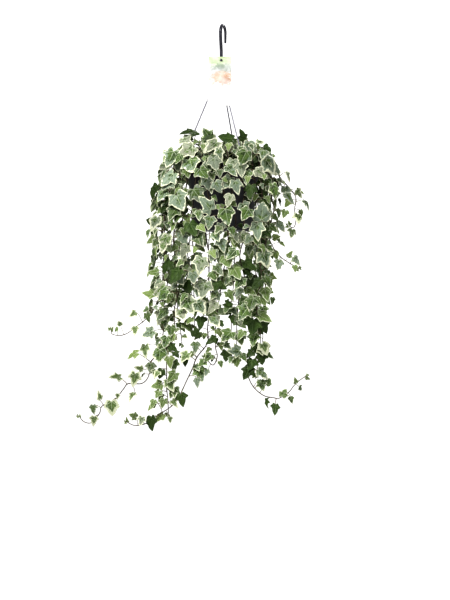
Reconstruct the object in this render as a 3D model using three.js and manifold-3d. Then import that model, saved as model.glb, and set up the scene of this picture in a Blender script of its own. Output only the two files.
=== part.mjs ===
// Potted white wonder english ivy in a hanging pot. Millimetres, +Z up.
// The origin is the point where the hook bears on what it hangs from, and the front is towards -Y.
import * as THREE from 'three';
import { mergeVertices } from 'three/addons/utils/BufferGeometryUtils.js';
import Module from 'manifold-3d';

const wasm = await Module();
wasm.setup();

// Driving dimensions
const GAP = 0.3;
const MERGE = 1e-4;
const FULL = 2 * Math.PI;
const DEG = Math.PI / 180;

const pot = {
  rimTop: -278,
  rimRadius: 76,
  baseRadius: 58,
  height: 130,
  wall: 1.6,
  floor: 2,
  collar: 14,
  ledge: 3.5,
  sides: 30,
  drains: 5,
  drainRadius: 4,
  drainCircle: 42,
};
const lug = { circle: 80, reach: 85, wide: 9, thick: 5, hole: 1.9 };
const soil = { top: -291, dome: 3, holeDepth: 14, holeSlack: 0.45 };
const hook = { tube: 3.25, tip: 2.2, bend: 15.75, drop: -12.5, turn: 72, tipDrop: -29, sides: 8 };
const hub = { x: -4.6, z: -104, radius: 10, thick: 4, circle: 6.8 };
const strand = {
  radius: 1.3,
  ball: 2.3,
  bendZ: -264,
  shoulder: 2.6,
  shoulderTop: -256,
  barb: 3.1,
  barbLong: 7,
};
const strandTurns = { strand_left: 184, strand_front: -62, strand_back: 70 };
const tag = {
  x: -6,
  wide: 49,
  tall: 104,
  thick: 0.8,
  corner: 4,
  tilt: 16,
  holeZ: -67.4,
  topMargin: 7.6,
  hole: 2,
};
const peg = { x: -3.6, radius: 1.5, head: 2.75, headThick: 1.2 };
const blade = { thick: 0.75, petioleWide: 1.4, gateForward: 1.2, gateDepth: 0.85, plainBelow: 31 };
const vineRise = { rootCircle: 36, shoulderCircle: 61, shoulderZ: -255, overCircle: 88, overZ: -262 };
const SPACING = 32;
const SWAY = 9;
const SPREAD_AXIS = 45;
const CLEAR_OTHER = 1.8;
const CLEAR_OWN = 0.7;

// Colours
const colours = {
  pot: 0x24252a,
  soil: 0x3a2c22,
  hanger: 0x1c1c20,
  strand: 0x4a4856,
  tag: 0xf2f4ee,
  leafFront: 0x93a58a,
  leafBack: 0x4d6a3c,
};

// Closed solids from geometry, and back
function solidOf(geometry) {
  const bare = new THREE.BufferGeometry();
  const plain = geometry.index ? geometry.toNonIndexed() : geometry;
  bare.setAttribute('position', plain.getAttribute('position').clone());
  const merged = mergeVertices(bare, MERGE);
  const index = merged.index.array;
  const kept = [];
  for (let i = 0; i < index.length; i += 3) {
    const [a, b, c] = [index[i], index[i + 1], index[i + 2]];
    if (a !== b && b !== c && c !== a) kept.push(a, b, c);
  }
  const build = (triangles) => new wasm.Manifold(new wasm.Mesh({
    numProp: 3,
    vertProperties: new Float32Array(merged.attributes.position.array),
    triVerts: new Uint32Array(triangles),
  }));
  const made = build(kept);
  if (made.volume() > 0) return made;
  for (let i = 0; i < kept.length; i += 3) [kept[i + 1], kept[i + 2]] = [kept[i + 2], kept[i + 1]];
  return build(kept);
}

function geometryOf(solid) {
  const mesh = solid.getMesh();
  const geometry = new THREE.BufferGeometry();
  geometry.setAttribute('position', new THREE.BufferAttribute(new Float32Array(mesh.vertProperties), 3));
  geometry.setIndex(new THREE.BufferAttribute(new Uint32Array(mesh.triVerts), 1));
  geometry.computeVertexNormals();
  return geometry;
}

function lathe(profile, sides) {
  const points = profile.map(([radius, z]) => new THREE.Vector2(radius, z));
  return new THREE.LatheGeometry(points, sides).rotateX(Math.PI / 2);
}

function upright(radiusTop, radiusBottom, zTop, zBottom, sides) {
  const shape = new THREE.CylinderGeometry(radiusTop, radiusBottom, zTop - zBottom, sides);
  return shape.rotateX(Math.PI / 2).translate(0, 0, (zTop + zBottom) / 2);
}

function polar(circle, degrees, z) {
  return new THREE.Vector3(circle * Math.cos(degrees * DEG), circle * Math.sin(degrees * DEG), z);
}

// A tube through given points with a radius at each, its rings carried along without twist
function sweep(points, radii, sides) {
  const headings = points.map((_, i) => {
    const before = points[Math.max(i - 1, 0)];
    const after = points[Math.min(i + 1, points.length - 1)];
    return after.clone().sub(before).normalize();
  });
  const across = new THREE.Vector3(1, 0.13, 0.07);
  const positions = [];
  points.forEach((point, i) => {
    across.addScaledVector(headings[i], -across.dot(headings[i])).normalize();
    const other = headings[i].clone().cross(across);
    for (let k = 0; k < sides; k += 1) {
      const angle = (2 * Math.PI * k) / sides;
      const spot = point.clone();
      spot.addScaledVector(across, radii[i] * Math.cos(angle));
      spot.addScaledVector(other, radii[i] * Math.sin(angle));
      positions.push(spot.x, spot.y, spot.z);
    }
  });
  const index = [];
  for (let i = 0; i + 1 < points.length; i += 1) {
    for (let k = 0; k < sides; k += 1) {
      const a = i * sides + k;
      const b = i * sides + ((k + 1) % sides);
      index.push(a, b, b + sides, a, b + sides, a + sides);
    }
  }
  const last = (points.length - 1) * sides;
  for (let k = 1; k + 1 < sides; k += 1) {
    index.push(0, k + 1, k);
    index.push(last, last + k, last + k + 1);
  }
  const geometry = new THREE.BufferGeometry();
  geometry.setAttribute('position', new THREE.Float32BufferAttribute(positions, 3));
  geometry.setIndex(index);
  return geometry;
}

// Pot: thin wall with a rim collar, a flat base with drain holes, and three lugs with holes
const baseZ = pot.rimTop - pot.height;
const collarZ = pot.rimTop - pot.collar;
const bodyTop = pot.rimRadius - pot.ledge - 1;

function outerRadius(z) {
  return THREE.MathUtils.mapLinear(z, baseZ + pot.floor, collarZ, pot.baseRadius, bodyTop);
}

function potSolid() {
  const inner = pot.wall;
  const profile = [
    [0, baseZ],
    [pot.baseRadius - 1.5, baseZ],
    [pot.baseRadius, baseZ + pot.floor],
    [bodyTop, collarZ],
    [bodyTop + pot.ledge, collarZ],
    [pot.rimRadius, pot.rimTop - 1.2],
    [pot.rimRadius - 0.8, pot.rimTop],
    [pot.rimRadius - inner - 0.4, pot.rimTop],
    [pot.rimRadius - inner - 1.2, collarZ + 3],
    [bodyTop - inner, collarZ - 1.5],
    [pot.baseRadius - inner, baseZ + pot.floor],
    [0, baseZ + pot.floor],
  ];
  let solid = solidOf(lathe(profile, pot.sides));
  for (const turn of Object.values(strandTurns)) {
    const block = new THREE.BoxGeometry(lug.reach - pot.rimRadius + 1.4, lug.wide, lug.thick);
    block.translate((lug.reach + pot.rimRadius - 1.4) / 2, 0, pot.rimTop - lug.thick / 2);
    solid = solid.add(solidOf(block.rotateZ(turn * DEG)));
  }
  for (const turn of Object.values(strandTurns)) {
    const at = polar(lug.circle, turn, 0);
    const bore = upright(lug.hole, lug.hole, pot.rimTop + 2, pot.rimTop - lug.thick - 2, 8);
    solid = solid.subtract(solidOf(bore.translate(at.x, at.y, 0)));
  }
  for (let k = 0; k < pot.drains; k += 1) {
    const at = polar(pot.drainCircle, (k * 360) / pot.drains + 30, 0);
    const bore = upright(pot.drainRadius, pot.drainRadius, baseZ + 4, baseZ - 2, 8);
    solid = solid.subtract(solidOf(bore.translate(at.x, at.y, 0)));
  }
  return solid;
}

// Hanger: hook, stem and hub disc in one moulding, with the peg that carries the tag
const hookAcross = new THREE.Vector3(Math.cos(hook.turn * DEG), Math.sin(hook.turn * DEG), 0);

function hookPath() {
  const points = [];
  const radii = [];
  const put = (along, z, radius) => {
    points.push(hookAcross.clone().multiplyScalar(along).setZ(z));
    radii.push(radius);
  };
  put(hook.bend - 0.8, hook.tipDrop - 1.6, hook.tip * 0.55);
  put(hook.bend - 0.7, hook.tipDrop, hook.tip);
  for (let step = 0; step <= 8; step += 1) {
    const angle = (step * Math.PI) / 8;
    const radius = THREE.MathUtils.lerp(hook.tip + 0.4, hook.tube, Math.min(step / 4, 1));
    put(hook.bend * Math.cos(angle), hook.drop + hook.bend * Math.sin(angle), radius);
  }
  const stem = [[-4.7, -14.4, -24], [-4.1, -8, -36], [-3.6, -2, -47], [-3.5, 0, -58], [-3.7, 0, -72]];
  for (const place of stem) {
    points.push(new THREE.Vector3(...place));
    radii.push(hook.tube);
  }
  points.push(new THREE.Vector3(hub.x, 0, hub.z - hub.thick / 4));
  radii.push(hook.tube);
  return { points, radii };
}

// The tag hangs on the peg with its foot leaning forwards
const tagFront = new THREE.Vector3(0, -Math.cos(tag.tilt * DEG), Math.sin(tag.tilt * DEG));
const tagBack = new THREE.Vector3(
  peg.x,
  -(hook.tube + GAP + tag.topMargin * Math.sin(tag.tilt * DEG)),
  tag.holeZ,
);

function onPeg(geometry, from, to) {
  const turned = geometry.applyQuaternion(
    new THREE.Quaternion().setFromUnitVectors(new THREE.Vector3(0, 1, 0), tagFront),
  );
  const middle = tagBack.clone().addScaledVector(tagFront, (from + to) / 2);
  return turned.translate(middle.x, middle.y, middle.z);
}

function strandEnds(turn) {
  const top = polar(hub.circle, turn, hub.z + hub.thick / 2 + GAP + strand.ball);
  top.x += hub.x;
  return { top, bend: polar(lug.circle, turn, strand.bendZ) };
}

function hangerSolid() {
  const { points, radii } = hookPath();
  let solid = solidOf(sweep(points, radii, hook.sides));
  const disc = upright(hub.radius, hub.radius - 1, hub.z + hub.thick / 2, hub.z - hub.thick / 2, 16);
  solid = solid.add(solidOf(disc.translate(hub.x, 0, 0)));
  const shankEnd = tag.thick + GAP + peg.headThick / 2;
  const shank = new THREE.CylinderGeometry(peg.radius, peg.radius, shankEnd + 6, 6);
  solid = solid.add(solidOf(onPeg(shank, -6, shankEnd)));
  const headFrom = tag.thick + GAP;
  const head = new THREE.CylinderGeometry(peg.head * 0.8, peg.head, peg.headThick, 8);
  solid = solid.add(solidOf(onPeg(head, headFrom, headFrom + peg.headThick)));
  for (const turn of Object.values(strandTurns)) {
    const { top, bend } = strandEnds(turn);
    const low = top.clone().lerp(bend, 0.12);
    const slack = strand.radius + GAP + 0.1;
    solid = solid.subtract(solidOf(sweep([top, low], [slack, slack], 6)));
  }
  return solid;
}

function strandSolid(turn) {
  const { top, bend } = strandEnds(turn);
  const foot = polar(lug.circle, turn, pot.rimTop - lug.thick - GAP - 1);
  const rod = [top, bend, foot];
  let solid = solidOf(sweep(rod, rod.map(() => strand.radius), 5));
  const ball = new THREE.SphereGeometry(strand.ball, 6, 4).translate(top.x, top.y, top.z);
  solid = solid.add(solidOf(ball));
  const shoulder = upright(1.6, strand.shoulder, strand.shoulderTop, pot.rimTop + GAP, 6);
  solid = solid.add(solidOf(shoulder.translate(foot.x, foot.y, 0)));
  const barbTop = pot.rimTop - lug.thick - GAP;
  const barb = upright(strand.barb, 1, barbTop, barbTop - strand.barbLong, 6);
  return solid.add(solidOf(barb.translate(foot.x, foot.y, 0)));
}

// Tag: a card with round corners and one round hole
function tagSolid() {
  const half = tag.wide / 2;
  const top = tag.topMargin;
  const foot = top - tag.tall;
  const r = tag.corner;
  const outline = new THREE.Shape();
  outline.moveTo(-half + r, foot);
  outline.lineTo(half - r, foot);
  outline.absarc(half - r, foot + r, r, -Math.PI / 2, 0, false);
  outline.absarc(half - r, top - r, r, 0, Math.PI / 2, false);
  outline.absarc(-half + r, top - r, r, Math.PI / 2, Math.PI, false);
  outline.absarc(-half + r, foot + r, r, Math.PI, Math.PI * 1.5, false);
  const hole = new THREE.Path();
  hole.absarc(peg.x - tag.x, 0, tag.hole, 0, Math.PI * 2, true);
  outline.holes.push(hole);
  const card = new THREE.ExtrudeGeometry(outline, { depth: tag.thick, bevelEnabled: false, curveSegments: 3 });
  card.rotateX(Math.PI / 2 - tag.tilt * DEG);
  return solidOf(card.translate(tag.x, tagBack.y, tagBack.z));
}

// Soil: fills the pot up to its collar, with a plain hole for each stem
function soilSolid(vines) {
  const inner = (z) => outerRadius(z) - pot.wall - GAP - 0.1;
  const floor = baseZ + pot.floor + GAP;
  const edge = collarZ - 2;
  const profile = [
    [0, floor],
    [inner(floor), floor],
    [inner(edge), edge],
    [bodyTop * 0.6, soil.top + soil.dome],
    [0, soil.top + soil.dome],
  ];
  let solid = solidOf(lathe(profile, pot.sides));
  for (const vine of vines) {
    const [stem] = vine.girth;
    const slack = (stem + soil.holeSlack) * Math.SQRT2;
    const bore = upright(slack, slack, soil.top + 12, soil.top - soil.holeDepth - GAP, 4);
    const at = vine.path[0];
    solid = solid.subtract(solidOf(bore.translate(at.x, at.y, 0)));
  }
  return solid;
}

// Seeded random numbers between 0 and 1
function seeded(seed) {
  let state = seed >>> 0;
  return () => {
    state = (state + 0x6d2b79f5) >>> 0;
    let mix = Math.imul(state ^ (state >>> 15), state | 1);
    mix ^= mix + Math.imul(mix ^ (mix >>> 7), mix | 61);
    return ((mix ^ (mix >>> 14)) >>> 0) / 4294967296;
  };
}

// Vines
// turn: where the stem crosses the rim, in degrees round the pot
// route: chosen points x, y, z that the stem passes after the rim
// long: blade length at the start and at the end, every: stem length between two leaves
// bare: stretches of height that keep only their placed leaves
// free: passes the edges of the plant
// placed: blade middle x and z, blade length, apex direction in the front view, turn about the midrib
const vineList = [
  {
    name: 'vine_left_low', turn: 173, long: [36, 23], every: 24, bare: [[-800, -640]],
    route: [[-113, -2, -322], [-119, -16, -400], [-115, -30, -480], [-115, -42, -560], [-122, -48, -620],
      [-135, -52, -658], [-146, -54, -670], [-149, -55, -696], [-164, -56, -711], [-183, -57, -711],
      [-199, -58, -722], [-218, -60, -743], [-237, -60, -755], [-248, -60, -770], [-261, -60, -788],
      [-276, -60, -786], [-285, -60, -774]],
    placed: [[-126, -292, 22, -150, 65], [-140, -390, 24, 170, 20], [-142, -428, 22, -160, 0],
      [-123, -580, 32, -110, 10], [-148, -612, 26, -150, 0], [-154, -646, 26, -100, 20],
      [-178, -654, 24, -172, 40], [-142, -680, 24, -100, 10], [-166, -681, 18, 170, 0],
      [-174, -702, 28, -90, 0], [-212, -698, 24, 170, 30], [-244, -734, 19, 100, 30],
      [-219, -758, 30, -95, 0], [-254, -784, 20, -105, 0]],
  },
  {
    name: 'vine_left_arc', turn: 200, long: [37, 20], every: 25, bare: [[-640, -562]],
    route: [[-104, -42, -312], [-112, -47, -380], [-115, -49, -456], [-113, -50, -518], [-126, -50, -548],
      [-138, -52, -563], [-156, -54, -586], [-170, -56, -599], [-187, -58, -611], [-203, -60, -616],
      [-215, -60, -613], [-221, -60, -602]],
    placed: [[-110, -260, 26, -135, 0], [-90, -279, 26, -100, 10], [-106, -314, 28, -100, 0],
      [-133, -451, 22, -100, 65], [-138, -492, 24, 175, 0], [-148, -534, 24, 180, 0],
      [-128, -514, 22, -140, 0], [-148, -580, 20, -60, 20], [-178, -574, 17, -140, 0],
      [-204, -592, 11, 120, 0]],
  },
  {
    name: 'vine_left_mid', turn: 216, long: [39, 29], every: 23,
    route: [[-91, -66, -312], [-99, -68, -390], [-98, -68, -470], [-90, -70, -540], [-84, -72, -600],
      [-80, -72, -636]],
    placed: [[-58, -262, 28, -100, 0], [-108, -542, 26, -120, 0], [-120, -340, 28, -130, 20],
      [-84, -330, 26, -60, 40], [-78, -426, 28, -60, 0], [-90, -490, 24, -80, 10],
      [-92, -575, 20, -60, 0], [-84, -596, 18, -50, 40]],
  },
  {
    name: 'vine_left_fall', turn: 230, long: [38, 24], every: 24,
    route: [[-74, -84, -308], [-82, -88, -380], [-82, -88, -460], [-86, -86, -530], [-98, -82, -600],
      [-113, -78, -661], [-110, -77, -684], [-113, -76, -715], [-110, -76, -740], [-107, -75, -774]],
    placed: [[-70, -296, 22, -70, 0], [-73, -479, 30, -70, 0], [-70, -518, 32, -80, 20],
      [-102, -606, 22, -90, 0], [-112, -628, 24, -110, 0], [-98, -640, 18, -30, 0],
      [-124, -654, 26, -100, 0], [-90, -654, 24, -60, 0], [-96, -674, 22, -90, 0],
      [-100, -697, 26, -130, 0], [-122, -690, 18, -110, 0], [-130, -714, 24, -150, 0],
      [-98, -727, 24, -110, 0]],
  },
  {
    name: 'vine_left_front', turn: 242, long: [38, 30], every: 24, bare: [[-376, -306]],
    route: [[-52, -92, -304], [-58, -96, -380], [-59, -95, -460], [-57, -92, -540], [-55, -88, -600]],
    placed: [[-57, -503, 26, -90, 0], [-65, -558, 34, -70, 0], [-46, -428, 28, -60, 10],
      [-66, -587, 18, -130, 30]],
  },
  {
    name: 'vine_centre_left', turn: 254, long: [38, 22], every: 24, bare: [[-800, -690]],
    route: [[-27, -103, -306], [-30, -105, -390], [-27, -102, -480], [-26, -96, -560], [-27, -91, -600],
      [-34, -88, -630], [-50, -87, -658], [-57, -85, -680], [-66, -84, -701], [-80, -82, -726],
      [-95, -80, -744], [-108, -79, -757], [-126, -78, -773], [-150, -77, -788], [-170, -76, -793],
      [-191, -75, -785]],
    placed: [[-32, -290, 26, -100, 0], [-30, -322, 32, -80, 0], [-32, -360, 34, 130, 0],
      [-32, -391, 24, 0, 30], [-20, -459, 26, -100, 0], [-43, -478, 32, -90, 0],
      [-38, -526, 34, -100, 0], [-44, -558, 26, -110, 10], [-22, -578, 24, -90, 0],
      [-44, -590, 26, -80, 0], [-52, -612, 22, -50, 0], [-53, -638, 24, -90, 0],
      [-22, -624, 24, -150, 0], [-74, -664, 24, -90, 0], [-80, -741, 26, -80, 20],
      [-118, -748, 20, -120, 0], [-137, -749, 20, -100, 0], [-140, -787, 28, -90, 40],
      [-176, -773, 16, 150, 0], [-160, -783, 18, -110, 0]],
  },
  {
    name: 'vine_centre', turn: 265, long: [37, 20], every: 26, bare: [[-400, -330]],
    route: [[-2, -104, -304], [4, -107, -380], [9, -105, -450], [2, -103, -490], [-3, -101, -530],
      [-7, -99, -565], [-11, -98, -600], [-16, -97, -636], [-15, -96, -656], [-21, -96, -673],
      [-29, -95, -667], [-35, -95, -655]],
    placed: [[-6, -262, 28, -90, 40], [-16, -280, 28, -80, 0], [12, -352, 28, -100, 0],
      [-26, -396, 30, -90, 0], [-6, -302, 24, -90, 0], [-10, -326, 26, -60, 0], [-4, -410, 30, -90, 0],
      [-2, -440, 28, -70, 0], [8, -470, 28, -80, 20], [-12, -498, 18, -90, 0], [-2, -520, 26, -20, 0],
      [-16, -540, 24, -140, 0], [-20, -561, 28, -110, 0], [-2, -594, 18, -30, 0], [6, -622, 22, -80, 0]],
  },
  {
    name: 'vine_right_inner', turn: 276, long: [36, 27], every: 26, bare: [[-402, -290]],
    route: [[14, -96, -306], [22, -95, -390], [24, -92, -470], [26, -89, -550], [27, -86, -610],
      [24, -84, -670]],
    placed: [[18, -284, 28, -90, 0], [8, -318, 30, -110, 0], [24, -431, 30, -90, 0],
      [34, -510, 22, -70, 0], [30, -533, 24, -90, 0], [12, -553, 16, -15, 40], [18, -585, 24, -80, 20],
      [32, -586, 22, -70, 0], [34, -622, 24, -60, 0], [22, -645, 26, 180, 0], [6, -656, 24, -90, 0],
      [27, -670, 28, -90, 0]],
  },
  {
    name: 'vine_right_low', free: true, turn: 287, long: [38, 21], every: 24,
    bare: [[-402, -310], [-760, -700]],
    route: [[38, -98, -306], [38, -101, -390], [34, -100, -460], [41, -98, -496], [50, -96, -530],
      [54, -93, -580], [52, -90, -634], [48, -88, -686], [58, -86, -714], [77, -84, -733],
      [96, -82, -738], [113, -80, -739], [128, -79, -727], [140, -78, -716], [152, -77, -705],
      [165, -76, -694]],
    placed: [[36, -292, 28, -80, 0], [26, -326, 30, -70, 10], [44, -368, 28, -60, 0],
      [48, -492, 16, -60, 0], [44, -557, 26, -90, 0], [58, -597, 32, -90, 0], [64, -642, 22, -60, 0],
      [76, -714, 22, -70, 0], [88, -706, 16, 60, 0], [86, -748, 18, -90, 55], [102, -760, 24, -90, 0],
      [119, -728, 18, 70, 0], [134, -742, 15, -90, 0], [142, -704, 13, 100, 0]],
  },
  {
    name: 'vine_right_front', turn: 307, long: [38, 28], every: 25,
    route: [[62, -88, -306], [64, -92, -380], [62, -92, -450], [64, -90, -520]],
    placed: [[46, -306, 30, -100, 0], [54, -346, 30, -90, 20], [66, -412, 34, -90, 0]],
  },
  {
    name: 'vine_right_bunch', turn: 318, long: [38, 28], every: 18,
    route: [[76, -74, -308], [78, -82, -390], [74, -86, -470], [70, -86, -540], [71, -84, -600],
      [72, -80, -660], [66, -76, -696]],
    placed: [[76, -375, 36, 90, 0], [78, -548, 20, -60, 0], [80, -599, 26, -70, 0],
      [60, -624, 30, -90, 0], [76, -664, 30, -90, 10], [55, -672, 26, -110, 0]],
  },
  {
    name: 'vine_right_mid', free: true, turn: 330, long: [34, 19], every: 24,
    route: [[92, -48, -310], [97, -54, -370], [92, -58, -412], [100, -60, -440], [114, -62, -458],
      [130, -64, -474], [151, -66, -483]],
    placed: [[105, -422, 17, 20, 0], [104, -458, 17, -90, 10], [132, -456, 16, 60, 0],
      [142, -484, 15, -70, 0]],
  },
  {
    name: 'vine_right_side', turn: 344, long: [38, 28], every: 19,
    route: [[92, -28, -314], [88, -36, -390], [84, -42, -470], [80, -46, -550], [78, -48, -620],
      [76, -50, -668]],
    placed: [[92, -506, 26, -90, 40], [88, -532, 20, -100, 0]],
  },
  {
    name: 'vine_right_curl', free: true, turn: 358, long: [31, 18], every: 29,
    route: [[118, -12, -304], [136, -18, -323], [146, -21, -342], [145, -24, -366], [145, -26, -386],
      [138, -28, -402], [128, -29, -397]],
    placed: [[126, -331, 24, -70, 0], [128, -354, 18, -120, 0], [152, -334, 22, -70, 55],
      [113, -352, 16, -90, 60]],
  },
  {
    name: 'vine_right_back', turn: 14, long: [38, 28], every: 20,
    route: [[94, 24, -314], [90, 22, -390], [85, 16, -470], [80, 8, -550], [76, 0, -600]],
  },
  {
    name: 'vine_back_right', turn: 32, long: [38, 28], every: 22,
    route: [[82, 54, -312], [82, 56, -390], [78, 52, -470], [72, 48, -550]],
  },
  {
    name: 'vine_back_a', turn: 52, long: [38, 28], every: 29,
    route: [[66, 80, -312], [70, 80, -390], [66, 76, -480], [60, 72, -540]],
  },
  {
    name: 'vine_back_b', turn: 86, long: [38, 28], every: 29,
    route: [[10, 102, -310], [16, 104, -400], [18, 100, -490], [14, 94, -570], [16, 90, -620]],
  },
  {
    name: 'vine_back_c', turn: 103, long: [38, 28], every: 29,
    route: [[-24, 100, -312], [-28, 104, -390], [-30, 100, -470]],
  },
  {
    name: 'vine_back_d', turn: 124, long: [38, 28], every: 29,
    route: [[-60, 84, -312], [-66, 86, -390], [-68, 82, -480], [-64, 78, -560]],
  },
  {
    name: 'vine_back_left', turn: 143, long: [38, 28], every: 29,
    route: [[-88, 58, -312], [-96, 58, -390], [-98, 54, -460]],
  },
  {
    name: 'vine_left_back', turn: 159, long: [38, 28], every: 25,
    route: [[-106, 30, -312], [-116, 24, -390], [-121, 12, -470], [-124, 2, -550], [-122, -6, -600]],
  },
];

// Crown sprigs: short stems that stand over the pot and don't pass the rim
const sprigList = [
  {
    name: 'crown_left', root: [-24, -20], long: [36, 27], every: 9,
    route: [[-32, -24, -262], [-48, -30, -240], [-66, -34, -228]],
    placed: [[-72, -236, 30, -60, 0], [-68, -214, 34, 178, 50]],
  },
  {
    name: 'crown_front', root: [-4, -26], long: [36, 27], every: 9,
    route: [[-6, -32, -258], [-12, -38, -238], [-22, -40, -222]],
    placed: [[-32, -217, 25, 120, 0], [6, -226, 30, 176, 25]],
  },
  {
    name: 'crown_right', root: [20, -20], long: [36, 27], every: 9,
    route: [[24, -26, -260], [32, -34, -240], [46, -36, -226]],
    placed: [[38, -220, 24, 90, 50], [52, -244, 27, -80, 0], [12, -250, 26, -100, 0]],
  },
  {
    name: 'crown_back_left', root: [-18, 14], long: [36, 27], every: 9,
    route: [[-22, 18, -260], [-34, 26, -240], [-48, 34, -228]],
  },
  {
    name: 'crown_back_right', root: [16, 16], long: [36, 27], every: 9,
    route: [[20, 22, -260], [32, 28, -238], [44, 34, -226]],
  },
];

// Stem: a curve through the chosen points, cut into short straight lengths
function stemPath(points) {
  const curve = new THREE.CatmullRomCurve3(points, false, 'catmullrom', 0.5);
  const path = [];
  const spans = points.length - 1;
  for (let i = 0; i < spans; i += 1) {
    const pieces = Math.max(1, Math.round(points[i].distanceTo(points[i + 1]) / SPACING));
    for (let j = 0; j < pieces; j += 1) path.push(curve.getPoint((i + j / pieces) / spans));
  }
  path.push(points[spans].clone());
  return path;
}

// A stem never hangs quite straight: each bend past the rim is set off a little
function sway(path, seed) {
  const draw = seeded(seed * 7919);
  for (let i = 5; i < path.length - 1; i += 1) {
    path[i].x += (draw() - 0.5) * SWAY;
    path[i].y += (draw() - 0.5) * SWAY * 0.8;
  }
}

function vineOf(entry, number) {
  const low = soil.top - soil.holeDepth;
  const start = [];
  const turn = entry.turn;
  if (turn === undefined) {
    start.push(new THREE.Vector3(entry.root[0], entry.root[1], low));
    start.push(new THREE.Vector3(entry.root[0], entry.root[1], soil.top + 6));
  } else {
    const circle = vineRise.rootCircle + (number % 3) * 8;
    start.push(polar(circle, turn, low));
    start.push(polar(circle, turn, soil.top + 6));
    start.push(polar(vineRise.shoulderCircle, turn, vineRise.shoulderZ + (number % 4) * 4));
    start.push(polar(vineRise.overCircle, turn, vineRise.overZ));
  }
  const points = [...start, ...entry.route.map((place) => new THREE.Vector3(...place))];
  const path = stemPath(points);
  if (turn !== undefined) sway(path, number + 1);
  const along = [0];
  for (let i = 1; i < path.length; i += 1) along.push(along[i - 1] + path[i].distanceTo(path[i - 1]));
  return {
    ...entry,
    seed: number + 1,
    path,
    along,
    whole: along[along.length - 1],
    front: path[path.length >> 1].y < 8,
    girth: turn === undefined ? [1.5, 1.1] : [1.9, 1],
  };
}

function stemSpot(vine, distance) {
  const [thick, thin] = vine.girth;
  let i = 1;
  while (i < vine.path.length - 1 && vine.along[i] < distance) i += 1;
  const share = (distance - vine.along[i - 1]) / (vine.along[i] - vine.along[i - 1]);
  return {
    spot: vine.path[i - 1].clone().lerp(vine.path[i], share),
    heading: vine.path[i].clone().sub(vine.path[i - 1]).normalize(),
    girth: THREE.MathUtils.lerp(thick, thin, distance / vine.whole),
  };
}

function outwards(vine, spot) {
  const push = vine.front ? -SPREAD_AXIS : SPREAD_AXIS;
  return new THREE.Vector3(0.45 * spot.x, spot.y + push, 0).normalize();
}

// Stem length below the first leaf, and between the roots of two leaves
const FIRST_ROOT = 28;
const ROOT_SPACE = 4;

// How far a petiole may lean along its stem, and how squarely it enters its blade
const LEAN_MOST = 0.82;
const ENTRY_LEAST = 0.25;

// The plant's edges in the front view, left and right of the axis, by the height of a leaf.
// Only placed leaves and the leaves of free vines pass them
const edges = [
  { above: -238, left: -104, right: 66 },
  { above: -262, left: -122, right: 90 },
  { above: -320, left: -132, right: 114 },
  { above: -560, left: -150, right: 97 },
  { above: -2000, left: -300, right: 89 },
];

// A leaf's shape: middle line, lobes and the amounts of fold and droop
function leafShape(long, draw) {
  return { long, spread: 0.82 + 0.26 * draw(), fold: 0.04 + 0.3 * draw(), droop: 0.02 + 0.3 * draw() };
}

// A grown leaf: alternate sides of the stem, facing out and up, its apex hanging
function grownLeaf(vine, distance, index, attempt) {
  const draw = seeded(vine.seed * 100003 + index * 1319 + attempt * 17);
  const { spot, heading } = stemSpot(vine, distance);
  const out = outwards(vine, spot);
  const side = heading.clone().cross(out).normalize().multiplyScalar(index % 2 ? 1 : -1);
  const progress = distance / vine.whole;
  const long = THREE.MathUtils.lerp(vine.long[0], vine.long[1], progress) * (0.82 + 0.3 * draw());
  const reach = long * (0.45 + 0.55 * draw());
  const lift = vine.turn === undefined ? 0.5 : -0.1;
  const notch = new THREE.Vector3(0, 0, lift + 0.5 * draw());
  notch.addScaledVector(out, 0.25 + 0.8 * draw()).addScaledVector(side, 0.3 + 0.8 * draw());
  notch.normalize().multiplyScalar(reach).add(spot);
  const face = out.clone().multiplyScalar(0.7).addScaledVector(side, 0.5 * draw() - 0.15);
  face.z += 0.15 + 0.5 * draw();
  face.normalize();
  const tip = side.clone().multiplyScalar(0.15 + 0.8 * draw()).addScaledVector(heading, 0.2);
  tip.z -= 0.55 + 0.5 * draw();
  tip.addScaledVector(face, -tip.dot(face)).normalize();
  return { distance, heading, root: spot, notch, tip, face, ...leafShape(long, draw) };
}

// A placed leaf: its middle and its apex direction are given in the front view
function placedLeaf(vine, place, index, attempt) {
  const draw = seeded(vine.seed * 70001 + index * 911 + attempt * 29);
  const [x, z, given, turn, roll] = place;
  const size = 1 - 0.06 * Math.floor(attempt / 6);
  const long = given * size;
  const bearing = (turn + (draw() - 0.5) * 24) * DEG;
  const pitch = (0.1 + 0.5 * draw()) * (draw() < 0.3 ? -0.4 : 1);
  const tip = new THREE.Vector3(Math.cos(bearing), -Math.sin(pitch), Math.sin(bearing));
  tip.normalize();
  const face = new THREE.Vector3(0.2 * (draw() - 0.5), -1, 0.1 + 0.3 * draw());
  face.addScaledVector(tip, -face.dot(tip)).normalize();
  face.applyAxisAngle(tip, (roll + (draw() - 0.5) * 16) * DEG);
  const middle = 0.42 * long;
  const notchX = x - tip.x * middle;
  const notchZ = z - tip.z * middle;
  let best = Infinity;
  let base = null;
  for (let distance = FIRST_ROOT; distance < vine.whole - 2; distance += 2.5) {
    const { spot, heading } = stemSpot(vine, distance);
    const flat = Math.hypot(spot.x - notchX, spot.z - notchZ);
    const crowded = vine.leaves.some((other) => Math.abs(other.distance - distance) < ROOT_SPACE);
    const miss = Math.abs(flat - 0.4 * long) + (spot.z < notchZ ? 3 : 0) + (crowded ? 40 : 0);
    if (miss < best) {
      best = miss;
      base = { distance, heading, root: spot };
    }
  }
  const depth = long * (0.2 + 0.12 * (attempt % 6)) + 3;
  const notch = new THREE.Vector3(notchX, base.root.y - depth, notchZ);
  return { ...base, notch, tip, face, ...leafShape(long, draw) };
}

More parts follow.
